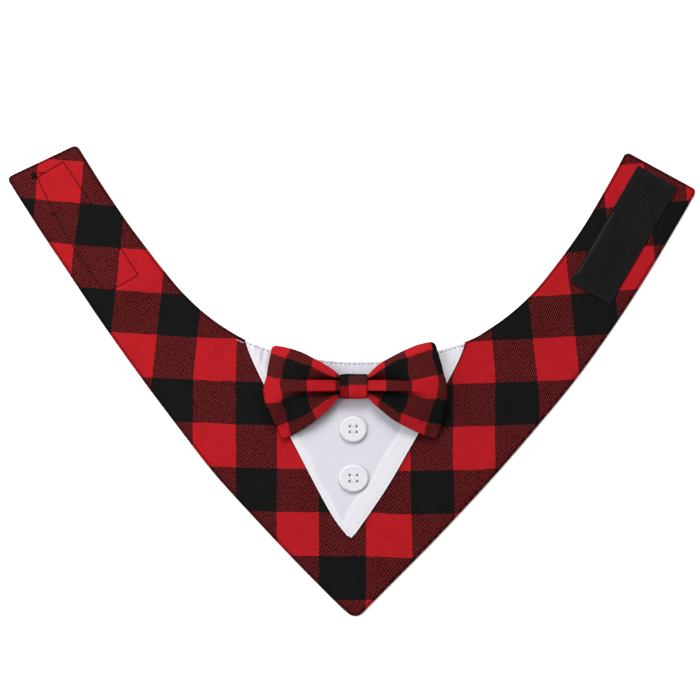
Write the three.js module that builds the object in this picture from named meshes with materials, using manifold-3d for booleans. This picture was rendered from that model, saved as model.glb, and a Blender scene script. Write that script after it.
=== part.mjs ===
// Dog bandana: a checked flannel neck scarf with a white shirt front, two buttons and a bow tie.
// Millimetres. It lies on z = 0 with its face up, the neckline toward +Y and the point toward -Y.
import * as THREE from 'three';
import { mergeVertices } from 'three/addons/utils/BufferGeometryUtils.js';
import Module from 'manifold-3d';

const wasm = await Module();
wasm.setup();

// ---- cloth ----
const GAP = 0.3; // between pieces that lie on each other
const BODY_CLOTH = 2.0; // two flannel layers, turned through and edge stitched
const SHIRT_CLOTH = 1.0;
const SHIRT_HEM = { left: 4.6, right: 10.4, rise: 0.6 }; // edges turned under along the V's sides
const BOW_CLOTH = 1.4;
const KNOT_CLOTH = 1.2;
const EDGE_ROUND = 1.2; // the turned edge of the body rolls over this width
const CORNER_ROUND = 3.0; // the strap ends' corners are rounded over this width

// ---- outline of the body, straps included, with the strap ends' corners still sharp ----
const NECKLINE = [
  { x: -165.5, y: 142.2 },
  { x: -138.1, y: 99.6 },
  { x: -116.7, y: 70.7 },
  { x: -89.8, y: 41.7 },
  { x: -65.1, y: 25.9 },
  { x: -33.0, y: 15.3 },
  { x: 0.3, y: 12.0 },
  { x: 34.0, y: 14.4 },
  { x: 67.4, y: 23.9 },
  { x: 96.0, y: 41.6 },
  { x: 122.8, y: 70.1 },
  { x: 142.7, y: 99.4 },
  { x: 164.5, y: 138.0 },
];
const LEFT_SIDE = [
  { x: -207.4, y: 122.6 },
  { x: -170.7, y: 65.9 },
  { x: -120.4, y: -6.3 },
  { x: -62.2, y: -78.3 },
  { x: -15.8, y: -126.1 },
  { x: -2.8, y: -138.7 },
];
const TIP = { x: 1.9, y: -141.3 };
const RIGHT_SIDE = [
  { x: 6.4, y: -138.3 },
  { x: 18.0, y: -126.5 },
  { x: 64.9, y: -78.6 },
  { x: 127.5, y: -6.7 },
  { x: 168.8, y: 51.2 },
  { x: 207.35, y: 114.8 },
];

// ---- white shirt front: its two slanting sides, from the neckline down to its point ----
const SHIRT_LEFT = [
  { x: -65.1, y: 25.9 },
  { x: -58.5, y: 8.3 },
  { x: -33.9, y: -39.8 },
  { x: -13.5, y: -78.2 },
  { x: -3.2, y: -92.4 },
];
const SHIRT_POINT = { x: -0.6, y: -93.8 };
const SHIRT_RIGHT = [
  { x: 1.8, y: -91.2 },
  { x: 10.5, y: -78.2 },
  { x: 34.5, y: -39.8 },
  { x: 60.3, y: 8.3 },
  { x: 67.4, y: 23.9 },
];

// ---- hook and loop closure: hooks on the right strap's face, loops under the left strap ----
const LOOP_TAPE = { x: -159.5, y: 93.4, turn: -56.5, length: 84, width: 25.4, thick: 1.5 };
const HOOK_TAPE = { x: 162.9, y: 88.0, turn: 60, length: 80.8, width: 27.5, thick: 0.7 };
const HOOK_FIELD = { width: 22.4, end: 1, rise: 0.9, pitch: 1.53, valley: 0.4 };
const LIFT_CLEAR = 4.5; // the strap stays at full height this far past the loop tape
const LIFT_RAMP = 14; // and comes down to the table over this distance

// ---- buttons ----
const BUTTONS = [
  { name: 'button_upper', x: 0.5, y: -28.4, diameter: 16.0, across: 3.7, down: 3.3 },
  { name: 'button_lower', x: 0.6, y: -57.8, diameter: 17.2, across: 4.1, down: 3.5 },
];
const BUTTON = { thick: 2.6, rim: 2.2, dish: 0.3, hole: 1.6 };
// Its rim seen in section: how far in from the edge, and how high in shares of the thickness.
const BUTTON_EDGE = [
  { inset: 1.4, up: 0 },
  { inset: 0.3, up: 0.27 },
  { inset: 0, up: 0.54 },
  { inset: 0.3, up: 0.85 },
  { inset: 1.1, up: 1 },
  { inset: BUTTON.rim, up: 0.9 },
];

// ---- bow tie, measured from the middle of its knot ----
const BOW = { x: 0.7, y: -2.7 };
const KNOT = { width: 16.4, height: 14.5, rise: 8.6 };
const WAIST_HALF = 4.7; // half the gathered width inside the knot
const MOUTH = { start: 2.2, run: 1.6, half: 7.6 }; // where the wings spring open past the knot
// up and down: how far the wing's corners lie above and below the knot's middle.
// bulge: how far the edge between knot and corner bows out, from 0 for a straight edge.
const WINGS = [
  { side: 1, up: 26.2, down: 30.7, bulge_up: 1, bulge_down: 1 },
  { side: -1, up: 24.2, down: 32.2, bulge_up: 1, bulge_down: 0.4 },
];
// How far out each wing's end fold lies, from its lower corner (w = -1) to its upper one.
const FOLD = [
  { w: -1, left: 42.6, right: 49.6 },
  { w: -0.5, left: 49.8, right: 54.4 },
  { w: 0, left: 53.4, right: 55.8 },
  { w: 0.5, left: 51.3, right: 52.8 },
  { w: 1, left: 48.2, right: 47.8 },
];
// The loop from under the knot, out along the lower layer, round the fold and back on top.
// reach runs from 0 at the knot to 1 at the fold; z is the height of the cloth's middle above
// the table; pleat is the depth of the gathers; sag is how far the free edges droop.
const LOOP_ROUTE = [
  { reach: 0.0, z: 6.0, pleat: 0.15, sag: -0.2 },
  { reach: 0.17, z: 6.0, pleat: 0.15, sag: -0.2 },
  { reach: 0.42, z: 5.2, pleat: 0.1, sag: 0 },
  { reach: 0.72, z: 5.0, pleat: 0, sag: 0 },
  { reach: 0.93, z: 5.6, pleat: 0, sag: 0 },
  { reach: 1.0, z: 8.6, pleat: 0, sag: 0 },
  { reach: 0.93, z: 12.4, pleat: 0.1, sag: 0.8 },
  { reach: 0.72, z: 15.4, pleat: 0.5, sag: 2.2 },
  { reach: 0.42, z: 14.6, pleat: 1.8, sag: 2.0 },
  { reach: 0.24, z: 11.4, pleat: 2.0, sag: 0.6 },
  { reach: 0.16, z: 9.1, pleat: 0.9, sag: 0.5 },
  { reach: 0.0, z: 9.0, pleat: 0.8, sag: 0.5 },
];
const PLEAT_WAVES = 1.7; // ridges and valleys across the width, in half turns

// ---- mesh fineness ----
const BODY_STEPS = { along: 54, across: 6 };
const LOOP_STEPS = { round: 76, across: 14 };
const KNOT_STEPS = { round: 36, across: 6 };
const BUTTON_SEGMENTS = 36;
const HOLE_SEGMENTS = 12;
const EDGE_STEPS = 20; // along each side of the shirt front
const NECKLINE_STEPS = 60;
const TIP_SHARE = 0.007; // of the neckline, to each side of the row that ends at the point

// ---- heights that follow ----
const BODY_TOP = BODY_CLOTH;
const SHIRT_BASE = BODY_TOP + GAP;
const SHIRT_TOP = SHIRT_BASE + SHIRT_CLOTH;
const BUTTON_BASE = SHIRT_TOP + GAP;
const LIFT = LOOP_TAPE.thick + GAP;

// ---- colours ----
const cloth = (color) => new THREE.MeshStandardMaterial({ color, roughness: 0.95, metalness: 0 });
const COLOURS = { check: 0x8a1d22, white: 0xe4e1e8, black: 0x1e1c1c };
const plastic = new THREE.MeshStandardMaterial({ color: 0xf0eeee, roughness: 0.35, metalness: 0 });

// ---- small helpers ----
const smoothstep = (t) => t * t * (3 - 2 * t);
const clamp01 = (t) => Math.min(Math.max(t, 0), 1);
const spline = (points) => new THREE.SplineCurve(points.map((p) => new THREE.Vector2(p.x, p.y)));

function meshFrom(positions, triangles) {
  const geometry = new THREE.BufferGeometry();
  geometry.setAttribute('position', new THREE.Float32BufferAttribute(positions, 3));
  geometry.setIndex(triangles);
  return geometry;
}

function named(name, geometry, material) {
  const mesh = new THREE.Mesh(geometry, material);
  mesh.name = name;
  return mesh;
}

function toSolid(geometry) {
  const bare = new THREE.BufferGeometry();
  bare.setAttribute('position', geometry.getAttribute('position').clone());
  if (geometry.index) bare.setIndex(geometry.index.clone());
  const merged = mergeVertices(bare, 1e-4);
  const vertProperties = new Float32Array(merged.getAttribute('position').array);
  const triVerts = new Uint32Array(merged.index.array);
  return new wasm.Manifold(new wasm.Mesh({ numProp: 3, vertProperties, triVerts }));
}

function toGeometry(solid) {
  const mesh = solid.getMesh();
  return meshFrom(Array.from(mesh.vertProperties), Array.from(mesh.triVerts));
}

// ---- body: a loft of straight rows from the neckline out to the side ----
const neckCurve = spline(NECKLINE);
const leftCurve = spline(LEFT_SIDE);
const rightCurve = spline(RIGHT_SIDE);

// u runs from the left strap end, past the point at 0.5, to the right strap end.
function rowEnds(u) {
  const inner = neckCurve.getPointAt(u);
  if (u === 0.5) return [inner, new THREE.Vector2(TIP.x, TIP.y)];
  const down = clamp01(Math.min(u, 1 - u) / (0.5 - TIP_SHARE));
  return [inner, u < 0.5 ? leftCurve.getPointAt(down) : rightCurve.getPointAt(1 - down)];
}

// Distances in from one edge: close steps over the rolled edge and the rounded corner, then even.
function edgeSteps(length, count) {
  const near = [0, 0.3 * EDGE_ROUND, EDGE_ROUND, CORNER_ROUND];
  const inner = length - 2 * CORNER_ROUND;
  const middle = Array.from({ length: count - 1 }, (_, k) => CORNER_ROUND + (inner * (k + 1)) / count);
  return [...near, ...middle, ...near.map((d) => length - d).reverse()];
}

// Bends the square corner where two edges meet, a and b in from them, into a quarter circle.
function roundCorner(a, b) {
  const p = 1 - clamp01(a / CORNER_ROUND);
  const q = 1 - clamp01(b / CORNER_ROUND);
  const shrink = (t) => 1 - Math.sqrt(1 - (t * t) / 2);
  return [a + CORNER_ROUND * p * shrink(q), b + CORNER_ROUND * q * shrink(p)];
}

function rollShare(distance) {
  const t = 1 - clamp01(distance / EDGE_ROUND);
  return Math.sqrt(1 - t * t);
}

// How far the strap is lifted where it lies over the loop tape.
function liftAt(x, y) {
  const turn = THREE.MathUtils.degToRad(LOOP_TAPE.turn);
  const dx = x - LOOP_TAPE.x;
  const dy = y - LOOP_TAPE.y;
  const along = Math.abs(dx * Math.cos(turn) + dy * Math.sin(turn)) - LOOP_TAPE.length / 2;
  const aside = Math.abs(-dx * Math.sin(turn) + dy * Math.cos(turn)) - LOOP_TAPE.width / 2;
  const away = Math.hypot(Math.max(along, 0), Math.max(aside, 0));
  return LIFT * (1 - smoothstep(clamp01((away - LIFT_CLEAR) / LIFT_RAMP)));
}

function bodyGeometry() {
  const along = (neckCurve.getLength() + leftCurve.getLength() + rightCurve.getLength()) / 2;
  const even = edgeSteps(along, BODY_STEPS.along).map((d) => d / along);
  const stations = [...even, 0.5 - TIP_SHARE, 0.5 + TIP_SHARE].sort((m, n) => m - n);
  const grid = stations.map((u) => {
    const fromEnd = Math.min(u, 1 - u) * along;
    const [rowStart, rowStop] = rowEnds(u);
    const length = rowStart.distanceTo(rowStop);
    return edgeSteps(length, BODY_STEPS.across).map((d) => {
      const fromSide = Math.min(d, length - d);
      const [a, b] = roundCorner(fromEnd, fromSide);
      const [inner, outer] = rowEnds(u < 0.5 ? a / along : 1 - a / along);
      const { x, y } = inner.lerp(outer, (d < length / 2 ? b : length - b) / length);
      const half = (BODY_CLOTH / 2) * rollShare(fromEnd) * rollShare(fromSide);
      return { x, y, middle: BODY_CLOTH / 2 + liftAt(x, y), half };
    });
  });
  return slab(grid);
}

// A closed sheet over a grid of points: two faces that meet along the grid's border.
function slab(grid) {
  const positions = [];
  const rim = (i, j) => i === 0 || j === 0 || i === grid.length - 1 || j === grid[0].length - 1;
  const place = (p, z) => positions.push(p.x, p.y, z) / 3 - 1;
  const top = grid.map((row) => row.map((p) => place(p, p.middle + p.half)));
  const low = grid.map((row, i) => row.map((p, j) => (rim(i, j) ? top[i][j] : place(p, p.middle - p.half))));
  const triangles = [];
  // Each cell is cut toward the grid's nearest corner, so that no triangle is all border.
  for (let i = 0; i < grid.length - 1; i += 1) {
    for (let j = 0; j < grid[0].length - 1; j += 1) {
      const even = i < grid.length / 2 === j < grid[0].length / 2;
      const cell = even
        ? [[i, j], [i, j + 1], [i + 1, j + 1], [i + 1, j]]
        : [[i, j + 1], [i + 1, j + 1], [i + 1, j], [i, j]];
      const [a, b, c, d] = cell.map(([m, n]) => top[m][n]);
      const [e, f, g, h] = cell.map(([m, n]) => low[m][n]);
      triangles.push(a, b, c, a, c, d, e, g, f, e, h, g);
    }
  }
  return meshFrom(positions, triangles);
}

// ---- shirt front: a flat V with a thicker hem along its two sides ----
function plate(points, low, high) {
  const shape = new THREE.Shape(points);
  const geometry = new THREE.ExtrudeGeometry(shape, { depth: high - low, bevelEnabled: false });
  geometry.translate(0, 0, low);
  return toSolid(geometry);
}

function necklineBetween(from, to) {
  const points = neckCurve.getSpacedPoints(NECKLINE_STEPS);
  return points.filter((p) => p.x > from.x && p.x < to.x);
}

// The strip of the given width along the inside of one side, which runs down or up the V.
function hemStrip(side, width) {
  const outer = side.getPoints(EDGE_STEPS);
  const inner = outer.map((p, k) => {
    const t = side.getTangent(k / EDGE_STEPS);
    return new THREE.Vector2(p.x - t.y * width, p.y + t.x * width);
  });
  return [...outer, ...inner.reverse()];
}

function shirtGeometry() {
  const left = spline(SHIRT_LEFT);
  const right = spline(SHIRT_RIGHT);
  const top = necklineBetween(SHIRT_LEFT[0], SHIRT_RIGHT.at(-1)).reverse();
  const point = new THREE.Vector2(SHIRT_POINT.x, SHIRT_POINT.y);
  const outline = [...left.getPoints(EDGE_STEPS), point, ...right.getPoints(EDGE_STEPS), ...top];
  const hemTop = SHIRT_TOP + SHIRT_HEM.rise;
  const leftHem = plate(hemStrip(left, SHIRT_HEM.left), SHIRT_BASE, hemTop);
  const rightHem = plate(hemStrip(right, SHIRT_HEM.right), SHIRT_BASE, hemTop);
  const hem = leftHem.add(rightHem).intersect(plate(outline, SHIRT_BASE, hemTop));
  return toGeometry(plate(outline, SHIRT_BASE, SHIRT_TOP).add(hem));
}

// ---- closure tapes ----
function tapeAt(tape, geometry, z, name) {
  const mesh = named(name, geometry, cloth(COLOURS.black));
  mesh.position.set(tape.x, tape.y, z);
  mesh.rotation.z = THREE.MathUtils.degToRad(tape.turn);
  return mesh;
}

function loopTapeGeometry() {
  const geometry = new THREE.BoxGeometry(LOOP_TAPE.length, LOOP_TAPE.width, LOOP_TAPE.thick);
  return geometry.translate(0, 0, LOOP_TAPE.thick / 2);
}

// The hook field is a comb seen from its side: one low bar for each row of hooks.
function hookTapeGeometry() {
  const { length, width, thick } = HOOK_TAPE;
  const base = new THREE.BoxGeometry(length, width, thick).translate(0, 0, thick / 2);
  const comb = new THREE.Shape();
  const count = Math.floor((length - 2 * HOOK_FIELD.end) / HOOK_FIELD.pitch);
  const start = (-count * HOOK_FIELD.pitch) / 2;
  const barTop = thick + HOOK_FIELD.rise;
  const barFoot = barTop - HOOK_FIELD.valley;
  comb.moveTo(start, thick / 2);
  for (let k = 0; k < count; k += 1) {
    const x = start + k * HOOK_FIELD.pitch;
    comb.lineTo(x, barFoot);
    comb.lineTo(x + HOOK_FIELD.pitch * 0.25, barTop);
    comb.lineTo(x + HOOK_FIELD.pitch * 0.75, barTop);
  }
  comb.lineTo(-start, barFoot);
  comb.lineTo(-start, thick / 2);
  const rows = new THREE.ExtrudeGeometry(comb, { depth: HOOK_FIELD.width, bevelEnabled: false });
  rows.rotateX(Math.PI / 2).translate(0, HOOK_FIELD.width / 2, 0);
  return toGeometry(toSolid(base).add(toSolid(rows)));
}

// ---- buttons: a dished disc with four thread holes ----
function buttonGeometry({ diameter, across, down }) {
  const radius = diameter / 2;
  const dish = BUTTON.thick - BUTTON.dish;
  const edge = BUTTON_EDGE.map(({ inset, up }) => new THREE.Vector2(radius - inset, up * BUTTON.thick));
  const face = [new THREE.Vector2(radius - BUTTON.rim - BUTTON.dish, dish), new THREE.Vector2(0, dish)];
  const profile = [new THREE.Vector2(0, 0), ...edge, ...face];
  const disc = new THREE.LatheGeometry(profile, BUTTON_SEGMENTS).rotateX(Math.PI / 2);
  const holes = [-1, 1].flatMap((i) => [-1, 1].map((j) => [(i * across) / 2, (j * down) / 2]));
  const cut = (solid, [x, y]) => {
    const r = BUTTON.hole / 2;
    const drill = new THREE.CylinderGeometry(r, r, 3 * BUTTON.thick, HOLE_SEGMENTS).rotateX(Math.PI / 2);
    return solid.subtract(toSolid(drill.translate(x, y, 0)));
  };
  return toGeometry(holes.reduce(cut, toSolid(disc)));
}

// ---- bow: cloth bands closed on themselves ----
// middle(a, w) gives the middle of the cloth at a turns round the band and w from -1 to 1 across.
function closedBand(middle, thick, steps) {
  const positions = [];
  const faces = [thick / 2, -thick / 2].map((offset) => {
    const rings = [];
    for (let i = 0; i < steps.round; i += 1) {
      const ring = [];
      for (let j = 0; j <= steps.across; j += 1) {
        const a = i / steps.round;
        const w = (2 * j) / steps.across - 1;
        const at = middle(a, w).addScaledVector(outward(middle, a, w), offset);
        ring.push(positions.push(at.x, at.y, at.z) / 3 - 1);
      }
      rings.push(ring);
    }
    return rings;
  });
  const [outer, inner] = faces;
  const triangles = [];
  const quad = (a, b, c, d) => triangles.push(a, b, c, a, c, d);
  for (let i = 0; i < steps.round; i += 1) {
    const n = (i + 1) % steps.round;
    for (let j = 0; j < steps.across; j += 1) {
      quad(outer[i][j], outer[n][j], outer[n][j + 1], outer[i][j + 1]);
      quad(inner[i][j], inner[i][j + 1], inner[n][j + 1], inner[n][j]);
    }
    const e = steps.across;
    quad(outer[i][0], inner[i][0], inner[n][0], outer[n][0]);
    quad(outer[i][e], outer[n][e], inner[n][e], inner[i][e]);
  }
  return meshFrom(positions, triangles);
}

function outward(middle, a, w) {
  const step = 1e-3;
  const round = middle(a + step, w).sub(middle(a - step, w));
  const across = middle(a, w + step).sub(middle(a, w - step));
  return round.cross(across).normalize();
}

// The route of the loop with the left wing as the mirror of the right one.
function loopCurve(column) {
  const right = LOOP_ROUTE.map((row) => new THREE.Vector3(row.reach, row.z, row[column]));
  const left = LOOP_ROUTE.slice(1, -1).map((row) => new THREE.Vector3(-row.reach, row.z, row[column]));
  return new THREE.CatmullRomCurve3([...right, ...left.reverse()], true, 'centripetal');
}

function foldCurve(side) {
  return new THREE.SplineCurve(FOLD.map((row) => new THREE.Vector2(row.w, row[side])));
}

function bowMiddle() {
  const pleatCurve = loopCurve('pleat');
  const sagCurve = loopCurve('sag');
  const folds = { 1: foldCurve('right'), [-1]: foldCurve('left') };
  const mouth = KNOT.width / 2 + MOUTH.start;
  return (a, w) => {
    const turn = (a + 1) % 1;
    const route = pleatCurve.getPoint(turn);
    const sag = sagCurve.getPoint(turn).z;
    const wing = WINGS.find((row) => row.side === (route.x < 0 ? -1 : 1));
    const fold = folds[wing.side].getPoint(clamp01((w + 1) / 2)).y - BOW_CLOTH / 2;
    const x = route.x * fold;
    const out = Math.abs(x) - mouth;
    const open = clamp01(out / (fold - mouth));
    const corner = w > 0 ? wing.up : wing.down;
    const bulge = w > 0 ? wing.bulge_up : wing.bulge_down;
    const spread = (1 - bulge) * open + bulge * Math.sin((open * Math.PI) / 2);
    const foot = WAIST_HALF + (MOUTH.half - WAIST_HALF) * smoothstep(clamp01(out / MOUTH.run));
    const y = w * (foot + (corner - foot) * spread);
    const pleat = route.z * Math.cos(Math.PI * PLEAT_WAVES * w);
    return new THREE.Vector3(x, y, route.y + pleat - sag * w * w);
  };
}

// The knot is a plain band wrapped once round the bow's waist, with squarish round corners.
function knotMiddle() {
  const halfY = (KNOT.height - KNOT_CLOTH) / 2;
  const halfZ = (KNOT.rise - KNOT_CLOTH) / 2;
  const centre = SHIRT_TOP + GAP + KNOT.rise / 2;
  const square = (c) => Math.sign(c) * Math.sqrt(Math.abs(c));
  return (a, w) => {
    const angle = 2 * Math.PI * a;
    const y = halfY * square(Math.cos(angle));
    const z = centre + halfZ * square(Math.sin(angle));
    return new THREE.Vector3((-w * KNOT.width) / 2, y, z);
  };
}

// ---- assembly ----
const bandana = new THREE.Group();
bandana.add(named('bandana_body', bodyGeometry(), cloth(COLOURS.check)));
bandana.add(named('shirt_front', shirtGeometry(), cloth(COLOURS.white)));
bandana.add(tapeAt(LOOP_TAPE, loopTapeGeometry(), 0, 'loop_tape'));
bandana.add(tapeAt(HOOK_TAPE, hookTapeGeometry(), BODY_TOP + GAP, 'hook_tape'));

BUTTONS.forEach((row) => {
  const button = named(row.name, buttonGeometry(row), plastic);
  button.position.set(row.x, row.y, BUTTON_BASE);
  bandana.add(button);
});

const bow = new THREE.Group();
bow.position.set(BOW.x, BOW.y, 0);
bow.add(named('bow_loop', closedBand(bowMiddle(), BOW_CLOTH, LOOP_STEPS), cloth(COLOURS.check)));
bow.add(named('bow_knot', closedBand(knotMiddle(), KNOT_CLOTH, KNOT_STEPS), cloth(COLOURS.check)));
bandana.add(bow);

export default bandana;
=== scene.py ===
"""A dog's neck bandana of checked flannel, with a white shirt front, two buttons and a bow tie.

Shapes are worked out in millimetres and made in metres. It lies face up on z = 0, with the
neckline toward +Y and the point toward -Y.
"""

import math

import bpy
import numpy as np
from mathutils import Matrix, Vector
from mathutils.geometry import delaunay_2d_cdt
from mathutils.kdtree import KDTree


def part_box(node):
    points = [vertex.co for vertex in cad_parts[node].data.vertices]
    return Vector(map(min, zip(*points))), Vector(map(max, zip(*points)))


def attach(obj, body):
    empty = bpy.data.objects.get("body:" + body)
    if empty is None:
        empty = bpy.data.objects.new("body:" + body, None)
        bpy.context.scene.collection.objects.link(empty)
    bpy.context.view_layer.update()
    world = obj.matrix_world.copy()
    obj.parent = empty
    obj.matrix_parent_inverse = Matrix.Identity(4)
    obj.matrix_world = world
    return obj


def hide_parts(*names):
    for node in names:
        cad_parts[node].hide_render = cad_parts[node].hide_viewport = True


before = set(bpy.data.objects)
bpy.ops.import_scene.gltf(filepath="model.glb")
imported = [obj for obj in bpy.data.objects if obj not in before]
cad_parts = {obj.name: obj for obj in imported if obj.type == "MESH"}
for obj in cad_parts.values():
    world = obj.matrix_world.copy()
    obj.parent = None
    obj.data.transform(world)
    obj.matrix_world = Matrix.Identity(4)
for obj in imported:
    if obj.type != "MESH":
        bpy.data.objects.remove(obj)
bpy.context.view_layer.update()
BODY = "root"
MM = 0.001


def levels(node):
    """How high a solid's lowest and highest points lie, in millimetres."""
    low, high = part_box(node)
    return low.z / MM, high.z / MM


# ---- heights, some of them from the solids that the pieces stand for ----
FLANNEL = 2.0  # two layers sewn, turned and edge stitched
SHIRT_BASE = levels("shirt_front")[0]
SHIRT_CLOTH = 1.0
HEM = {"left": 4.6, "right": 11.0, "rise": 0.45, "ramp": 1.6}
HOOK_BASE = levels("hook_tape")[0]
HOOK_THICK = 0.7
BUTTON_BASE = levels("button_upper")[0]
LOOP_THICK = levels("loop_tape")[1]

# ---- outline of the body, with the strap ends' corners still sharp ----
NECKLINE = [(-165.4, 142.3), (-151.0, 119.3), (-135.8, 96.7), (-125.0, 82.1), (-113.9, 67.7),
            (-102.3, 53.9), (-89.0, 41.3), (-74.4, 30.9), (-58.2, 22.6), (-33.0, 15.3),
            (0.3, 12.0), (34.0, 14.4), (67.4, 23.9), (82.1, 31.7), (96.7, 42.4), (109.8, 54.9),
            (121.3, 69.0), (132.1, 83.5), (142.1, 98.7), (155.6, 122.2), (164.3, 138.2)]
LEFT_SIDE = [(-207.6, 122.4), (-188.3, 92.1), (-168.3, 62.1), (-148.2, 32.2), (-127.3, 2.9),
             (-105.7, -25.9), (-83.7, -54.3), (-59.6, -81.0), (-34.9, -107.2), (-9.6, -132.7),
             (-2.9, -138.8)]
TIP = (1.9, -141.3)
RIGHT_SIDE = [(6.5, -138.4), (18.1, -126.6), (44.5, -100.0), (64.9, -78.6), (87.6, -53.8),
              (111.2, -26.5), (134.0, 1.3), (155.1, 30.5), (174.9, 60.6), (193.4, 91.6),
              (206.9, 115.0)]
STRAP_CORNER = 3.0

# ---- outline of the white front ----
SHIRT_LEFT = [(-64.8, 25.6), (-58.1, 8.5), (-33.9, -39.8), (-13.5, -78.2), (-3.2, -92.4)]
SHIRT_POINT = (-0.6, -93.8)
SHIRT_RIGHT = [(1.8, -91.2), (10.9, -78.4), (21.8, -62.0), (34.6, -39.9), (61.3, 7.8),
               (67.9, 24.1)]
SHIRT_CORNER = 1.4
CURVE_STEP = 0.5  # spacing of points along the lines of the white front

# ---- closure tapes: centre, turn in degrees, length and width ----
LOOP_TAPE = {"x": -159.5, "y": 93.4, "turn": -56.5, "length": 84.0, "width": 25.4}
HOOK_TAPE = {"x": 162.9, "y": 88.0, "turn": 60.0, "length": 80.8, "width": 27.5}
HOOK_ROWS = {"pitch": 1.53, "across": 22.4, "spacing": 0.84, "end": 2.2}
LIFT = {"clear": 4.5, "ramp": 14.0, "rise": LOOP_THICK + 0.3}

# ---- sewing ----
EDGE_SEAM = {"inset": 1.3, "pitch": 3.0, "length": 3.4, "radius": 0.17}
NECK_SEAM = {"inset": 1.5, "pitch": 2.78, "length": 1.2, "radius": 0.26}
FOLD_SEAM = {"inset": 0.55, "pitch": 2.6, "length": 2.45, "radius": 0.15}
TAPE_SEAM = {"inset": 1.45, "pitch": 2.4, "length": 2.1, "radius": 0.18}
SPECK_SEAM = {"pitch": 1.5, "length": 0.75, "radius": 0.24}
PATCH_SEAM = {"pitch": 2.3, "length": 2.75, "radius": 0.26}
# The sides of the box of stitches over the loop tape, which the handled strap has bent a little.
PATCH = [
    [(-173.4, 131.6), (-188.9, 122.3)],
    [(-188.9, 122.3), (-183.7, 111.4), (-173.4, 91.3), (-166.6, 79.9), (-158.4, 67.5),
     (-151.6, 57.6), (-148.3, 52.5)],
    [(-148.3, 52.5), (-128.4, 63.7)],
    [(-128.4, 63.7), (-137.0, 77.2), (-155.4, 105.0), (-163.2, 116.8), (-173.4, 131.6)],
]
TACK_SLANT = 0.2
# Where its thread is sewn back and forth: middle, turn in degrees, strands and their length.
TACKS = [
    {"x": -190.8, "y": 123.4, "turn": 94, "strands": 7, "spacing": 0.48, "length": 4.9},
    {"x": -186.8, "y": 125.3, "turn": 1, "strands": 1, "spacing": 0.5, "length": 5.6},
    {"x": -179.6, "y": 100.6, "turn": -4, "strands": 2, "spacing": 1.0, "length": 3.8},
]

# ---- check: where its columns change, numbered from the middle, and how its rows lie ----
COLUMN_FIRST = -10
COLUMN_EDGES = [-296, -268, -240, -210.6, -181.6, -151.7, -122.0, -95.7, -70.0, -45.4, -20.2,
                8.2, 34.5, 60.3, 85.5, 112.0, 139.1, 168.3, 196.0, 221.5, 249, 276]
# Above a line that falls toward the sides, the cloth's columns lean in to the straps.
LEAN = {"rate": 0.12, "from_y": 60.0, "fall": 0.6}
# Toward the point on the right they drift back, and on the left strap they bulge outward.
DRIFT = {"rate": 0.025, "below_y": -40.0, "from_x": 10, "ramp": 20}
BULGE = {"width": 0.85, "y": 106, "half": 16, "from_x": -150, "ramp": 15}
ROWS = {"first": -130.95, "pitch": 26.34, "shrink": 0.072, "arch": 2.55e-4}
ROW_SAGS = [{"depth": 1.4, "from_x": 5, "ramp": 35}, {"depth": 0.4, "from_x": 80, "ramp": 40}]

# ---- bow tie, measured from the middle of its knot ----
BOW = {"x": 0.7, "y": -2.7}
BOW_CLOTH = 1.1
BOW_CHECK = 15.8
BOW_COLUMN = BOW_CHECK * 0.97  # its columns are drawn together a little

# ---- spacing of points: round an edge, and between rows inside it in shares of their spacing ----
OUTLINE_STEP = 0.55
RIM_SHARE = 0.55
ROW_SHARE = 0.866
SHORTEST = 0.12  # a line moved inward loses the steps that shrink below this share
NEAREST = 0.99  # and the points that come nearer to the edge than this share of its inset
CLEARANCE = 0.97  # loose points keep this share of their row's inset


# ---------------------------------------------------------------- lines and outlines
def smooth_line(points, per_span=60):
    """A curve through points, with the ends held."""
    p = np.array(points, float)
    p = np.vstack([p[:1], p, p[-1:]])
    t = np.linspace(0, 1, per_span, endpoint=False)[:, None]
    spans = []
    for p0, p1, p2, p3 in zip(p[:-3], p[1:-2], p[2:-1], p[3:]):
        v0, v1 = (p2 - p0) / 2, (p3 - p1) / 2
        spans.append((2 * p1 - 2 * p2 + v0 + v1) * t ** 3
                     + (-3 * p1 + 3 * p2 - 2 * v0 - v1) * t ** 2 + v0 * t + p1)
    return np.vstack(spans + [p[-1:]])


def lengths_along(line):
    steps = np.linalg.norm(np.diff(line, axis=0), axis=1)
    return np.concatenate([[0], np.cumsum(steps)])


def at_lengths(line, at):
    """The points that lie at given lengths along a line."""
    along = lengths_along(line)
    return np.stack([np.interp(at, along, column) for column in line.T], axis=1)


def directions(line):
    """Which way a line runs at each of its points."""
    ahead = np.gradient(line, axis=0)
    return ahead / np.linalg.norm(ahead, axis=1)[:, None]


def to_left(ahead):
    return np.stack([-ahead[:, 1], ahead[:, 0]], axis=1)


def evenly(line, step):
    """The same line with its points at even steps."""
    whole = lengths_along(line)[-1]
    return at_lengths(line, np.linspace(0, whole, max(int(round(whole / step)), 1) + 1))


def bend(start, corner, stop, count=9):
    """A round corner: an arc that leaves both lines smoothly."""
    start, corner, stop = (np.array(point, float) for point in (start, corner, stop))
    a, b = start - corner, stop - corner
    opening = a @ b / (np.linalg.norm(a) * np.linalg.norm(b))
    pull = math.sqrt((1 - opening) / 2)
    t = np.linspace(0, 1, count)[:, None]
    shares = (1 - t) ** 2, 2 * pull * t * (1 - t), t ** 2
    return (start * shares[0] + corner * shares[1] + stop * shares[2]) / sum(shares)


def cut_ends(line, start, stop):
    """The line with a length taken off each end."""
    along = lengths_along(line)
    stop = along[-1] - stop
    kept = along[(along > start) & (along < stop)]
    return at_lengths(line, np.concatenate([[start], kept, [stop]]))


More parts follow.
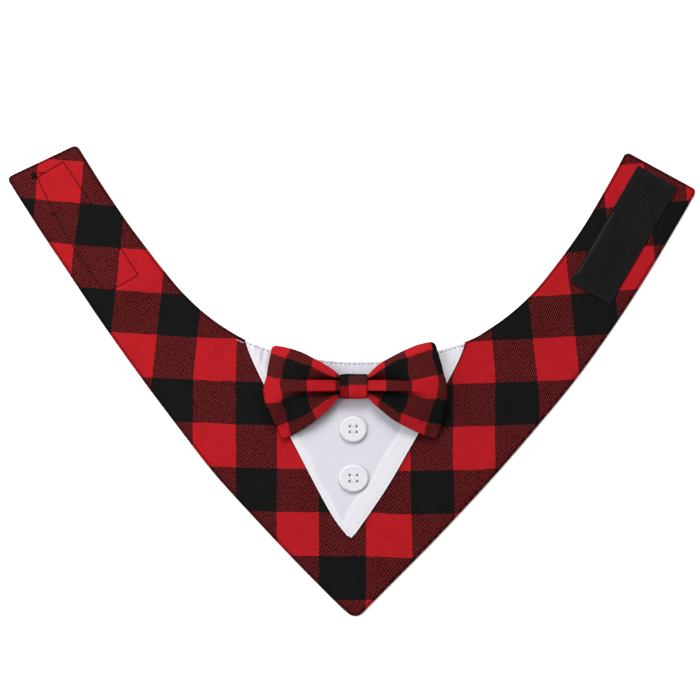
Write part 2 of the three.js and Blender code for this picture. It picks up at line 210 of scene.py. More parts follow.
def closed_outline(runs, radius):
    """Joins runs end to end and rounds each corner between them."""
    cut = [cut_ends(run, radius, radius) for run in runs]
    parts = []
    for k, run in enumerate(cut):
        following = cut[(k + 1) % len(cut)]
        parts += [run, bend(run[-1], runs[k][-1], following[0])[1:-1]]
    line = np.vstack(parts + [parts[0][:1]])
    return evenly(line, OUTLINE_STEP)[:-1]


def body_outline():
    left, right = smooth_line(LEFT_SIDE), smooth_line(RIGHT_SIDE)
    neck = smooth_line(NECKLINE)[::-1]
    corner = 2 * np.array(TIP) - (left[-1] + right[0]) / 2
    sides = np.vstack([left, bend(left[-1], corner, right[0])[1:-1], right])
    end_right = np.array([RIGHT_SIDE[-1], NECKLINE[-1]], float)
    end_left = np.array([NECKLINE[0], LEFT_SIDE[0]], float)
    return closed_outline([sides, end_right, neck, end_left], STRAP_CORNER)


def neckline_between(from_x, to_x):
    neck = smooth_line(NECKLINE)
    return neck[(neck[:, 0] > from_x) & (neck[:, 0] < to_x)]


def shirt_sides():
    return smooth_line(SHIRT_LEFT), smooth_line(SHIRT_RIGHT)


def shirt_outline():
    left, right = shirt_sides()
    point = np.vstack([left, np.array([SHIRT_POINT]), right])
    top = neckline_between(SHIRT_LEFT[0][0] + 0.2, SHIRT_RIGHT[-1][0] - 0.2)[::-1]
    top = np.vstack([right[-1:], top, left[:1]])
    return closed_outline([point, top], SHIRT_CORNER)


def inward(outline):
    """Unit normals that point to the inside of a line that runs counterclockwise."""
    ahead = np.roll(outline, -1, axis=0) - np.roll(outline, 1, axis=0)
    return to_left(ahead / np.linalg.norm(ahead, axis=1)[:, None])


def offset(outline, inset):
    """The outline moved inward, with the points that would cross at a tight corner drawn in."""
    ring = outline + inward(outline) * inset
    ahead, moved = (np.roll(line, -1, axis=0) - line for line in (outline, ring))
    short = (ahead * moved).sum(axis=1) < SHORTEST * (ahead ** 2).sum(axis=1)
    crossed = distance_to(outline, ring) < abs(inset) * NEAREST
    crossed |= short | np.roll(short, 1)
    kept, every = np.flatnonzero(~crossed), np.arange(len(ring))
    return np.stack([np.interp(every, kept, ring[kept, k], period=len(ring)) for k in (0, 1)], 1)


def distance_to(line, points):
    """How far each point lies from the nearest point of a line."""
    tree = KDTree(len(line))
    for k, (x, y) in enumerate(line):
        tree.insert((x, y, 0), k)
    tree.balance()
    return np.array([tree.find((x, y, 0))[2] for x, y in points])


def is_inside(outline, points):
    a, b = outline, np.roll(outline, -1, axis=0)
    x, y = points[:, :1], points[:, 1:]
    spans = (a[:, 1] > y) != (b[:, 1] > y)
    rise = np.where(b[:, 1] == a[:, 1], 1e-9, b[:, 1] - a[:, 1])
    cross = a[:, 0] + (y - a[:, 1]) * (b[:, 0] - a[:, 0]) / rise
    return (spans & (x < cross)).sum(axis=1) % 2 == 1


def fill_points(outline, spacing, first_inset):
    """Loose points inside an outline: thinning rows near its edge, then an even field."""
    rows = []
    inset, every = first_inset, 2
    while every <= 4:
        rows.append((offset(outline, inset)[::every], inset))
        inset, every = inset + spacing * RIM_SHARE, every * 2
    low, high = outline.min(axis=0), outline.max(axis=0)
    xs = np.arange(low[0], high[0], spacing)
    ys = np.arange(low[1], high[1], spacing * ROW_SHARE)
    field = np.array([(x + (k % 2) * spacing / 2, y) for k, y in enumerate(ys) for x in xs])
    rows.append((field, inset))
    kept = []
    for points, at_least in rows:
        points = points[is_inside(outline, points)]
        kept.append(points[distance_to(outline, points) > at_least * CLEARANCE])
    return np.vstack(kept)


def turned(x, y, place):
    """Points in a tape's own frame, along and across it."""
    a = math.radians(place["turn"])
    dx, dy = x - place["x"], y - place["y"]
    return dx * math.cos(a) + dy * math.sin(a), -dx * math.sin(a) + dy * math.cos(a)


def placed(along, across, place):
    a = math.radians(place["turn"])
    return (place["x"] + along * math.cos(a) - across * math.sin(a),
            place["y"] + along * math.sin(a) + across * math.cos(a))


def smoothstep(t):
    t = np.clip(t, 0, 1)
    return t * t * (3 - 2 * t)


def glide(xs, ys, at):
    """A smooth curve through a table that never overshoots it. ys may have several columns."""
    xs, ys = np.array(xs, float), np.array(ys, float)
    flat = ys.ndim == 1
    if flat:
        ys = ys[:, None]
    width = np.diff(xs)[:, None]
    slope = np.diff(ys, axis=0) / width
    a, b = slope[:-1], slope[1:]
    same = a * b > 0
    mean = np.where(same, 2 * a * b / np.where(same, a + b, 1), 0)
    rate = np.vstack([slope[:1], mean, slope[-1:]])
    at = np.clip(np.array(at, float), xs[0], xs[-1])
    k = np.clip(np.searchsorted(xs, at, side="right") - 1, 0, len(xs) - 2)
    w = width[k]
    t = ((at - xs[k])[:, None]) / w
    out = (ys[k] * (1 + 2 * t) * (1 - t) ** 2 + rate[k] * w * t * (1 - t) ** 2
           + ys[k + 1] * t ** 2 * (3 - 2 * t) + rate[k + 1] * w * t ** 2 * (t - 1))
    return out[:, 0] if flat else out


# ---------------------------------------------------------------- meshes
def add_object(name, data):
    thing = bpy.data.objects.new(name, data)
    bpy.context.scene.collection.objects.link(thing)
    return thing


def make_object(name, points, faces, uvs, material):
    """A smooth-shaded mesh from points in millimetres, with one uv for each face corner."""
    mesh = bpy.data.meshes.new(name)
    mesh.from_pydata((np.asarray(points) * MM).tolist(), [], faces)
    layer = mesh.uv_layers.new(name="cloth")
    layer.data.foreach_set("uv", np.asarray(uvs, np.float32).ravel())
    mesh.polygons.foreach_set("use_smooth", np.ones(len(mesh.polygons), bool))
    mesh.materials.append(material)
    return add_object(name, mesh)


def set_hem(piece, insets, shade=0.0):
    """Keeps each point's distance in from the cloth's edge, and a second value, which is painted
    shade on the bow tie and the doubled share on the white front.
    """
    mesh = piece.data
    corner = np.zeros(len(mesh.loops), np.int32)
    mesh.loops.foreach_get("vertex_index", corner)
    layer = mesh.uv_layers.new(name="hem")
    shades = np.broadcast_to(shade, insets.shape)
    pairs = np.column_stack([insets[corner], shades[corner]])
    layer.data.foreach_set("uv", pairs.astype(np.float32).ravel())


def plan_points(piece):
    """Where a piece's points lie in plan, in millimetres."""
    at = np.zeros(len(piece.data.vertices) * 3)
    piece.data.vertices.foreach_get("co", at)
    return at.reshape(-1, 3)[:, :2] / MM


def finish_piece(piece, slot, *nodes):
    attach(piece, BODY)
    if nodes:
        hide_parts(*nodes)
    return piece


def triangulate(ring, loose):
    """Triangles that fill a ring of points, using the loose points inside it."""
    points = [Vector(p) for p in np.vstack([ring, loose])]
    found = delaunay_2d_cdt(points, [], [list(range(len(ring)))], 1, 1e-6)
    origin = [ids[0] if ids else -1 for ids in found[3]]
    return [[origin[v] for v in face] for face in found[2]]


def grid(rows, columns):
    """Goes through the squares of a grid, each as the row and column of its four corners."""
    for i in range(rows):
        for j in range(columns):
            yield (i, j), (i, j + 1), (i + 1, j + 1), (i + 1, j)


def cloth_side(outline, roll, spacing, first_inset, height_of):
    """One face of a closed sheet, for cloth_plate."""
    return roll["inset"][1:], fill_points(outline, spacing, first_inset), height_of


def cloth_plate(name, outline, top, low, uv_top, uv_low, material):
    """A closed sheet of cloth inside an outline.

    top and low each hold the insets of the rings that roll over the edge, the loose points
    inside them, and the height as a function of place, inset and length along the edge.
    """
    along = lengths_along(np.vstack([outline, outline[:1]]))[:-1]
    n = len(outline)
    rim_height = sum(height_of(outline, np.zeros(n), along) for _, _, height_of in (top, low)) / 2
    points = [np.column_stack([outline, rim_height])]
    faces, uvs, total = [], [], n
    for (insets, loose, height_of), uv_of, way in ((top, uv_top, 1), (low, uv_low, -1)):
        rings = [np.arange(n)]
        for inset in insets:
            ring = offset(outline, inset)
            points.append(np.column_stack([ring, height_of(ring, np.full(n, inset), along)]))
            rings.append(np.arange(n) + total)
            total += n
        made = []
        for outer, inner in zip(rings, rings[1:]):
            made += np.stack([outer, np.roll(outer, -1), np.roll(inner, -1), inner], 1).tolist()
        height = height_of(loose, distance_to(outline, loose), np.zeros(len(loose)))
        points.append(np.column_stack([loose, height]))
        index = np.concatenate([rings[-1], np.arange(len(loose)) + total])
        total += len(loose)
        made += [[int(index[v]) for v in face] for face in triangulate(ring, loose)]
        made = [face[::way] for face in made]
        face_uv = uv_of(*np.vstack(points)[:, :2].T)
        uvs += [face_uv[v] for face in made for v in face]
        faces += made
    return make_object(name, np.vstack(points), faces, uvs, material)


def rolled(roll, inset):
    """The share of a cloth's thickness at each distance in from its edge."""
    return glide(roll["inset"], roll["share"], inset)


def face_of(height_of, outline, along=0.0):
    """The height of a cloth's face as a function of place alone, for things laid on it."""
    def height(x, y):
        xy = np.column_stack([x, y])
        return height_of(xy, distance_to(outline, xy), np.full(len(xy), along))
    return height


def tubes(name, paths, radius, sides, material, swell=1.0):
    """Many short round tubes with closed ends, joined. Each path is a row of points."""
    paths = np.asarray(paths, float)
    count, steps = paths.shape[:2]
    ahead = np.gradient(paths, axis=1)
    ahead /= np.linalg.norm(ahead, axis=2, keepdims=True)
    up = np.array([0.13, 0.21, 1.0])
    side = np.cross(ahead, up)
    side /= np.linalg.norm(side, axis=2, keepdims=True)
    over = np.cross(side, ahead)
    turn = 2 * math.pi * np.arange(sides) / sides
    ring = side[:, :, None] * np.cos(turn)[:, None] + over[:, :, None] * np.sin(turn)[:, None]
    swelling = radius * np.broadcast_to(swell, (steps,))
    points = (paths[:, :, None] + ring * swelling[:, None, None]).reshape(-1, 3)
    along = lengths_along(paths[0])
    faces, uvs = [], []
    for c in range(count):
        base = c * steps * sides
        for corners in grid(steps - 1, sides):
            faces.append([base + i * sides + j % sides for i, j in corners])
            uvs += [(along[i], j / sides) for i, j in corners]
        first = [base + k for k in range(sides)][::-1]
        last = [base + (steps - 1) * sides + k for k in range(sides)]
        for cap, u in ((first, along[0]), (last, along[-1])):
            faces.append(cap)
            uvs += [(u, k / sides) for k in range(sides)]
    return make_object(name, points, faces, uvs, material)


# A stitch from end to end: where its points lie, how far they dive and how thick it is there.
STITCH_AT = [0.0, 0.1, 0.3, 0.5, 0.7, 0.9, 1.0]
STITCH_DIP = [1.0, 0.42, 0.06, 0.0, 0.06, 0.42, 1.0]
STITCH_SWELL = [0.45, 0.85, 1.0, 1.0, 1.0, 0.85, 0.45]
STITCH_HEIGHT = {"middle": 0.35, "dive": 2.0}  # in shares of its thread's radius


def stitch_paths(line, seam, height, closed=False, start=0.0):
    """The centre lines of a row of stitches that dive into the cloth at their ends."""
    line = np.vstack([line, line[:1]]) if closed else line
    whole = lengths_along(line)[-1]
    count = int((whole - start) / seam["pitch"])
    pitch = whole / count if closed else seam["pitch"]
    paths = []
    for k in range(count):
        at = start + k * pitch + np.array(STITCH_AT) * seam["length"]
        x, y = at_lengths(line, at % whole if closed else at).T
        rise = STITCH_HEIGHT["middle"] - STITCH_HEIGHT["dive"] * np.array(STITCH_DIP)
        z = height(x, y) + seam["radius"] * rise
        paths.append(np.column_stack([x, y, z]))
    return np.array(paths)


def sew(name, paths, seam, material, slot):
    finish_piece(tubes(name, paths, seam["radius"], 7, material, STITCH_SWELL), slot)


# ---------------------------------------------------------------- shader building blocks
class Graph:
    """Adds nodes to a node tree and links them, a line for each node."""

    def __init__(self, tree):
        self.tree = tree

    def put(self, socket, value):
        if isinstance(value, bpy.types.NodeSocket):
            self.tree.links.new(value, socket)
        elif value is not None:
            socket.default_value = value

    def dress(self, **sockets):
        """Sets or links sockets of the material's shader, each by its name."""
        shader = self.tree.nodes["Principled BSDF"]
        for name, value in sockets.items():
            self.put(shader.inputs[name.replace("_", " ")], value)

    def add(self, kind, inputs=(), **settings):
        node = self.tree.nodes.new(kind)
        for key, value in settings.items():
            setattr(node, key, value)
        for key, value in dict(inputs).items():
            self.put(node.inputs[key], value)
        return node

    def math(self, operation, a, b=None, c=None, clamp=False):
        node = self.add("ShaderNodeMath", operation=operation, use_clamp=clamp)
        for socket, value in zip(node.inputs, (a, b, c)):
            self.put(socket, value)
        return node.outputs[0]

    def times(self, a, b):
        return self.math("MULTIPLY", a, b)

    def minus(self, a, b):
        return self.math("SUBTRACT", a, b)

    def blend(self, share, a, b):
        """A number between a and b."""
        return self.add("ShaderNodeMix", {0: share, 2: a, 3: b}, data_type="FLOAT").outputs[0]

    def ramp(self, value, start, stop, low, high):
        """Goes from low to high while value goes from start to stop."""
        inputs = dict(enumerate((value, start, stop, low, high)))
        return self.add("ShaderNodeMapRange", inputs).outputs[0]

    def colour(self, share, a, b):
        return self.add("ShaderNodeMix", {0: share, 6: a, 7: b}, data_type="RGBA").outputs[2]

    def toned(self, colour, tone):
        return self.add("ShaderNodeVectorMath", {0: colour, 3: tone}, operation="SCALE").outputs[0]

    def parts(self, vector):
        return self.add("ShaderNodeSeparateXYZ", {0: vector}).outputs

    def layer(self, name):
        return self.add("ShaderNodeUVMap", uv_map=name).outputs[0]

    def noise(self, vector, scale, detail=2.0, roughness=0.5):
        inputs = {"Vector": vector, "Scale": scale, "Detail": detail, "Roughness": roughness}
        return self.add("ShaderNodeTexNoise", inputs).outputs["Fac"]

    def bump(self, height, depth):
        """Gives the material's shader a bumpy face."""
        inputs = {"Height": height, "Distance": depth * MM, "Strength": 1.0}
        self.dress(Normal=self.add("ShaderNodeBump", inputs).outputs[0])

    def stray(self, *noise):
        """Noise that goes both ways from nothing."""
        return self.minus(self.noise(*noise), 0.5)

    def line(self, value, rate, start, clamp=False):
        return self.math("MULTIPLY_ADD", value, rate, start, clamp)

    def use(self, group, **inputs):
        return self.add("ShaderNodeGroup", inputs, node_tree=group).outputs

    def give(self, **outputs):
        """Ends a group with what it gives out, and returns its tree."""
        self.add("NodeGroupOutput", outputs)
        return self.tree


NUMBER, VECTOR = "NodeSocketFloat", "NodeSocketVector"


def new_group(name, inputs, outputs):
    """An empty shader group with named sockets: its graph and its inputs."""
    tree = bpy.data.node_groups.new(name, "ShaderNodeTree")
    for label, value in inputs.items():
        kind = VECTOR if value is None else NUMBER
        socket = tree.interface.new_socket(name=label, in_out="INPUT", socket_type=kind)
        if value is not None:
            socket.default_value = value
    for label in outputs:
        tree.interface.new_socket(name=label, in_out="OUTPUT", socket_type=NUMBER)
    graph = Graph(tree)
    return graph, graph.add("NodeGroupInput").outputs


def twill_group():
    """Two-over, two-under twill: which yarn lies on top, and how high it stands."""
    graph, given = new_group(
        "Twill weave",
        {"Cloth": None, "Warps": 71, "Wefts": 41, "Lean": 1, "Fuzz": 0.35, "Slack": 2.6},
        ["Weft", "Height"])
    along, across = graph.parts(given["Cloth"])[:2]
    stray = graph.times(graph.stray(given["Cloth"], 60, 3, 0.7), given["Fuzz"])
    slack = graph.times(graph.noise(given["Cloth"], 7, 2), given["Slack"])
    a = graph.line(along, given["Warps"], graph.math("ADD", stray, slack))
    b = graph.line(across, given["Wefts"], stray)
    step = graph.times(graph.math("FLOOR", b), given["Lean"])
    count = graph.minus(graph.math("FLOOR", a), step)
    weft = graph.math("LESS_THAN", graph.math("FLOORED_MODULO", count, 4), 1.5)
    rounds = []
    for yarn in (a, b):
        middle = graph.minus(graph.math("FRACT", yarn), 0.5)
        rounds.append(graph.line(graph.times(middle, middle), -4, 1))
    return graph.give(Weft=weft, Height=graph.blend(weft, *rounds))


def check_group():
    """Buffalo check: where both yarns are red, where only one is, and where a red one shows."""
    graph, given = new_group("Buffalo check", {"Cloth": None, "Weft": 0, "Waver": 0.05},
                             ["Red", "Crossed", "Shown"])
    stray = graph.stray(given["Cloth"], 45, 2, 0.6)
    reds = []
    for part, scale in zip(graph.parts(given["Cloth"]), (1.7, 2.1)):
        slow = graph.stray(given["Cloth"], scale, 1)
        wandering = graph.line(stray, 0.035, part)
        wandering = graph.line(slow, given["Waver"], wandering)
        reds.append(graph.math("FLOORED_MODULO", graph.math("FLOOR", wandering), 2))
    patchy = graph.noise(given["Cloth"], 17, 3, 0.75)
    strength = graph.line(patchy, 5.0, -1.5, clamp=True)
    shown = graph.times(graph.blend(given["Weft"], *reds), strength)
    return graph.give(Red=graph.times(*reds), Shown=shown,
                      Crossed=graph.math("ABSOLUTE", graph.minus(*reds)))


def nap_group():
    """Brushed nap: soft mottling of the colour and a fine uneven surface."""
    graph, given = new_group("Brushed nap", {"Cloth": None, "Scale": 1.0, "Mottling": 0.12},
                             ["Tone", "Height"])
    fine = graph.noise(given["Cloth"], graph.times(given["Scale"], 42), 4, 0.65)
    broad = graph.noise(given["Cloth"], graph.times(given["Scale"], 3.1), 3, 0.55)
    both = graph.math("ADD", graph.times(fine, 0.6), graph.times(broad, 0.4))
    tone = graph.line(graph.minus(both, 0.5), given["Mottling"], 1.0)
    return graph.give(Tone=tone, Height=fine)


def plain_weave_group():
    """Fine plain weave: how high the yarns stand."""
    graph, given = new_group("Plain weave", {"Cloth": None, "Yarns": 40}, ["Height"])
    turns = [graph.times(graph.times(part, given["Yarns"]), 2 * math.pi)
             for part in graph.parts(given["Cloth"])[:2]]
    return graph.give(Height=graph.times(*(graph.math("SINE", turn) for turn in turns)))


def twist_group():
    """Sewing thread: slanting plies seen along a stitch."""
    graph, given = new_group("Thread twist", {"Thread": None, "Pitch": 0.45}, ["Height"])
    along, around = graph.parts(given["Thread"])[:2]
    turns = graph.math("ADD", graph.math("DIVIDE", along, given["Pitch"]), around)
    wave = graph.math("SINE", graph.times(turns, 2 * math.pi))
    return graph.give(Height=graph.line(wave, 0.5, 0.5))


TWILL, CHECKED, NAP = twill_group(), check_group(), nap_group()
PLAIN_WEAVE, TWIST = plain_weave_group(), twist_group()


def new_material(name, **shader):
    """A new material's graph and its cloth uv, with its shader's plain values set."""
    material = bpy.data.materials.new(name)
    material.use_nodes = True
    graph = Graph(material.node_tree)
    graph.material = material
    graph.dress(**shader)
    return graph, graph.layer("cloth")


RED = (0.385, 0.0112, 0.0158, 1)
BLACK = (0.0079, 0.0079, 0.0078, 1)
DUSTY_RED = (0.205, 0.0315, 0.0325, 1)
WINE = (0.0200, 0.0003, 0.0004, 1)
SINGLE_COTTON = (0.600, 0.588, 0.645, 1)
DOUBLED_COTTON = (0.672, 0.665, 0.705, 1)
# painted highlight on the white front's folded edge
PAINTED_FOLD_HIGHLIGHT = (0.86, 0.85, 0.87, 1)
KNOT_YARNS = (0.006, 0.002, 0.002, 1), (0.180, 0.045, 0.045, 1)
TAPE_PAINTED_SHADES = (0.0055, 0.0055, 0.0055, 1), (0.0100, 0.0096, 0.0096, 1)
WORN_NYLON = (0.0055, 0.0053, 0.0053, 1)
FRESH_NYLON = (0.010, 0.010, 0.010, 1), (0.030, 0.029, 0.029, 1)
WHITE_RESIN = (0.590, 0.585, 0.620, 1), (0.635, 0.630, 0.66, 1)
PALE_TABLE = (0.955, 0.955, 0.955, 1), (0.97, 0.97, 0.97, 1)
# Painted shade and painted highlight by distance in millimetres: from where to where they change,
# and from what to what.
# painted shade on the flannel's very edge, where it rolls under
PAINTED_EDGE_SHADE = (0.15, 0.6, 0.55, 1)
# painted shade along the groove of the edge stitches
SEAM_SHADE_REACH = (0.15, 0.6)
# the painted highlight on the cotton's fold, then the painted shade in the groove beside it
FOLD_HIGHLIGHT_SPAN = (0.65, 0.95, 1, 0)
FOLD_GROOVE = 1.35
PAINTED_GROOVE_SHADE = (0.1, 0.45, 0.93, 1)
MEAN_SHOWN = 0.31  # the share of red yarn seen, taken over a crossed square
# Where the hook tape's nylon is fresh, along and across it: two places for each fade.
FRESH = {"foot": (-6, 8), "end": (31, 24), "side": (9, 3)}


def flannel(name, warps, wefts, lean, scale, depth, waver=0.05, yarns=(WINE, DUSTY_RED),
            groove=1.0):
    """Brushed check flannel.

    warps, wefts: yarns for each square. lean: the way its twill slants. scale: of its nap.
    depth: contrast of the twill's lines. waver: how far the check's edges stray. groove: how
    dark the painted shade is along the groove of the edge stitches.
    """
    graph, cloth = new_material(name, Roughness=0.95, Specular_IOR_Level=0.0)
    weave = graph.use(TWILL, Cloth=cloth, Warps=warps, Wefts=wefts, Lean=lean, Slack=2.6 * scale)
    check = graph.use(CHECKED, Cloth=cloth, Weft=weave["Weft"], Waver=waver)
    nap = graph.use(NAP, Cloth=cloth, Scale=scale, Mottling=0.7)
    # painted shade and painted highlight: the colour darkens toward each yarn's edges and lightens on
    # its crown, following the weave's height
    shown = graph.times(check["Shown"], weave["Height"])
    shown = graph.line(shown, depth, MEAN_SHOWN * (1 - depth))
    solid = graph.colour(check["Red"], BLACK, RED)
    tinted = graph.colour(check["Crossed"], solid, graph.colour(shown, *yarns))
    # the hem layer's second value is painted shade on the bow's valleys, corner and knot
    inset, painted_shade = graph.parts(graph.layer("hem"))[:2]
    # painted shade on the very edge, times the painted shade kept in the hem layer
    shade = graph.times(graph.ramp(inset, *PAINTED_EDGE_SHADE), graph.blend(painted_shade, 1, 0))
    # painted shade along the groove of the edge stitches
    from_seam = graph.math("ABSOLUTE", graph.minus(inset, EDGE_SEAM["inset"]))
    shade = graph.times(shade, graph.ramp(from_seam, *SEAM_SHADE_REACH, groove, 1))
    tone = graph.times(nap["Tone"], graph.blend(weave["Height"], 0.88, 1.06))
    graph.dress(Base_Color=graph.toned(tinted, graph.times(tone, shade)))
    graph.bump(graph.math("ADD", graph.times(weave["Height"], 0.5), nap["Height"]), 0.16)
    return graph.material


def cotton(name):
    """White cotton: a painted highlight on its fold, painted shade in the groove beside it, dull past
    the hem.
    """
    graph, cloth = new_material(name, Roughness=0.85, Specular_IOR_Level=0.15)
    inset, doubled = graph.parts(graph.layer("hem"))[:2]
    nap = graph.use(NAP, Cloth=cloth, Scale=0.7, Mottling=0.06)
    base = graph.colour(doubled, SINGLE_COTTON, DOUBLED_COTTON)
    # painted highlight on the fold, then painted shade in the groove beside it
    base = graph.colour(graph.ramp(inset, *FOLD_HIGHLIGHT_SPAN), base, PAINTED_FOLD_HIGHLIGHT)
    from_groove = graph.math("ABSOLUTE", graph.minus(inset, FOLD_GROOVE))
    tone = graph.times(nap["Tone"], graph.ramp(from_groove, *PAINTED_GROOVE_SHADE))
    graph.dress(Base_Color=graph.toned(base, tone))
    graph.bump(graph.use(PLAIN_WEAVE, Cloth=cloth, Yarns=33)["Height"], 0.03)
    return graph.material


def thread(name, colour, dark):
    graph, line = new_material(name, Roughness=0.7, Specular_IOR_Level=0.08)
    twist = graph.use(TWIST, Thread=line)["Height"]
    # painted shade: the thread is darker where its twist dips between the plies
    graph.dress(Base_Color=graph.colour(twist, (*dark, 1), (*colour, 1)))
    graph.bump(twist, 0.06)
    return graph.material


def tape_base(name):
    graph, cloth = new_material(name, Roughness=0.72, Specular_IOR_Level=0.12)
    weave = graph.use(PLAIN_WEAVE, Cloth=cloth, Yarns=12)["Height"]
    nap = graph.use(NAP, Cloth=cloth, Scale=0.8, Mottling=0.5)
    # painted shade and painted highlight: the tape is darker where its weave's bumps dip and lighter
    # on their crests
    tinted = graph.colour(graph.blend(weave, 0.3, 0.8), *TAPE_PAINTED_SHADES)
    graph.dress(Base_Color=graph.toned(tinted, nap["Tone"]))
    graph.bump(weave, 0.1)
    return graph.material


def nylon(name):
    """Nylon hooks, glossy where the strap's end is fresh and dull where it has been handled."""
    graph, line = new_material(name, Specular_IOR_Level=0.35)
    along, across = graph.parts(graph.layer("hem"))[:2]
    foot, end = (graph.ramp(along, *FRESH[key], 0, 1) for key in ("foot", "end"))
    fresh = graph.times(graph.times(foot, end), graph.ramp(across, *FRESH["side"], 0, 1))
    cloudy = graph.noise(line, 1.3, 2)
    graph.dress(Base_Color=graph.colour(fresh, WORN_NYLON, graph.colour(cloudy, *FRESH_NYLON)),
                Roughness=graph.blend(fresh, 0.85, graph.blend(cloudy, 0.36, 0.5)))
    return graph.material


def resin(name):
    graph, place = new_material(name, Coat_Weight=0.1, Coat_Roughness=0.2)
    fine = graph.noise(place, 2.2, 2)
    graph.dress(Base_Color=graph.colour(graph.noise(place, 0.35, 3), *WHITE_RESIN),
                Roughness=graph.blend(fine, 0.36, 0.48))
    graph.bump(fine, 0.01)
    return graph.material


BODY_FLANNEL = flannel("Flannel, body", 71, 41, 1, 1.0, 1.0, groove=0.55)
BOW_FLANNEL = flannel("Flannel, bow, turned a quarter", 26, 42, -1, 0.45, 0.6, 0.22)
KNOT_FLANNEL = flannel("Flannel, bow band", 44, 35, 1, 0.45, 0.85, 0.05, KNOT_YARNS)
COTTON = cotton("White cotton")
DARK_THREAD = thread("Thread, black", (0.011, 0.0045, 0.005), (0.005, 0.002, 0.002))
WHITE_THREAD = thread("Thread, white", (0.86, 0.85, 0.88), (0.7, 0.69, 0.73))
BUTTON_THREAD = thread("Thread, button", (0.66, 0.65, 0.68), (0.56, 0.55, 0.58))
PALE_THREAD = thread("Thread, pale grey", (0.27, 0.265, 0.28), (0.15, 0.147, 0.155))
GREY_THREAD = thread("Thread, shaded grey", (0.16, 0.155, 0.16), (0.08, 0.078, 0.08))
TAPE = tape_base("Black woven tape")
NYLON = nylon("Black nylon hooks")
RESIN = resin("White button resin")


# ---------------------------------------------------------------- body
def lift_at(x, y):
    """How far the strap is lifted where it lies over the loop tape."""
    along, across = turned(x, y, LOOP_TAPE)
    past = np.hypot(np.maximum(np.abs(along) - LOOP_TAPE["length"] / 2, 0),
                    np.maximum(np.abs(across) - LOOP_TAPE["width"] / 2, 0))
    return LIFT["rise"] * (1 - smoothstep((past - LIFT["clear"]) / LIFT["ramp"]))


def handled_rise(x, y):
    """The slow rise and fall of handled cloth, about -1 to 1."""
    return (np.sin(x / 17 + y / 29) * np.sin(y / 21 - x / 47) + np.sin(x / 9.1 - y / 13) * 0.4) / 1.4


def patch_line():
    sides = [evenly(smooth_line(side), 0.4)[:-1] for side in PATCH]
    return np.vstack(sides + [sides[0][:1]])


def ridge(at, middle, half):
    """1 on a line, falling off softly to both sides."""
    return np.exp(-((at - middle) / half) ** 2)


EDGE_ROLL = {"inset": [0, 0.1, 0.3, 0.6, 0.9, 1.25, 1.6, 2.0, 2.9, 3.8],
             "share": [0.5, 0.78, 0.9, 0.93, 0.9, 0.82, 0.9, 0.96, 1.0, 1.0]}
UNDER_ROLL = {"inset": [0, 0.15, 0.5, 1.2], "share": [0.5, 0.22, 0.06, 0.0]}
PUCKER = {"height": 0.07, "half": 0.9, "reach": 3.5}
PATCH_GROOVE = {"depth": 0.4, "half": 0.6, "rows": (-1.3, -0.75, -0.3, 0, 0.3, 0.75, 1.3)}
RISE = {"height": 0.1, "ramp": 9}
UNDER_SHIRT = {"above": 5, "inside": 1}  # where the white front hides the body's edge stitches
BACK_SHIFT = (0.4, 0.3)  # the back's check is cut from another place
PATCH_LINE = patch_line()
BODY_OUTLINE = body_outline()


def body_top(xy, inset, along):
    x, y = xy.T
    pull = ridge(inset, EDGE_SEAM["inset"], PUCKER["half"]) * np.where(inset < PUCKER["reach"], 1, 0)
    pucker = PUCKER["height"] * pull * np.cos(2 * math.pi * along / EDGE_SEAM["pitch"])
    groove = PATCH_GROOVE["depth"] * ridge(distance_to(PATCH_LINE, xy), 0, PATCH_GROOVE["half"])
    slow = RISE["height"] * handled_rise(x, y) * smoothstep(inset / RISE["ramp"])
    return FLANNEL * rolled(EDGE_ROLL, inset) + lift_at(x, y) + pucker - groove + slow


def body_low(xy, inset, along):
    return FLANNEL * rolled(UNDER_ROLL, inset) + lift_at(*xy.T)


on_body = face_of(body_top, BODY_OUTLINE, EDGE_SEAM["pitch"] / 4)


def beyond(x, place):
    """0 up to a place, rising smoothly to 1 beyond it."""
    return smoothstep((x - place["from_x"]) / place["ramp"])


def check_uv(x, y):
    """Where a point of the laid-out cloth falls in the check, one unit for each square."""
    above = np.maximum(y - LEAN["from_y"] + LEAN["fall"] * np.abs(x), 0)
    below = np.maximum(DRIFT["below_y"] - y, 0) * beyond(x, DRIFT)
    straight = x + np.sign(x) * LEAN["rate"] * above - DRIFT["rate"] * below
    strap = smoothstep((BULGE["from_x"] - x) / BULGE["ramp"])
    straight -= BULGE["width"] * ridge(y, BULGE["y"], BULGE["half"]) * strap
    column = np.interp(straight, COLUMN_EDGES, COLUMN_FIRST + np.arange(len(COLUMN_EDGES)))
    sag = sum(place["depth"] * beyond(x, place) for place in ROW_SAGS)
    rise = y - ROWS["first"] - ROWS["arch"] * x * x + sag
    root = ROWS["pitch"] ** 2 - 4 * ROWS["shrink"] * rise
    row = (ROWS["pitch"] - np.sqrt(np.maximum(root, 0))) / (2 * ROWS["shrink"])
    return np.column_stack([column, row])


def back_uv(x, y):
    return check_uv(x, y) + np.array(BACK_SHIFT)


def make_body():
    rows = [offset(PATCH_LINE[:-1], d)[::2] for d in PATCH_GROOVE["rows"]]
    loose = np.vstack([fill_points(BODY_OUTLINE, 2.4, 3.5)] + rows)
    top = EDGE_ROLL["inset"][1:-1], loose, body_top
    low = cloth_side(BODY_OUTLINE, UNDER_ROLL, 4.5, 2.2, body_low)
    body = cloth_plate("flannel_body", BODY_OUTLINE, top, low, check_uv, back_uv, BODY_FLANNEL)
    set_hem(body, distance_to(BODY_OUTLINE, plan_points(body)))
    return finish_piece(body, "check_flannel", "bandana_body")


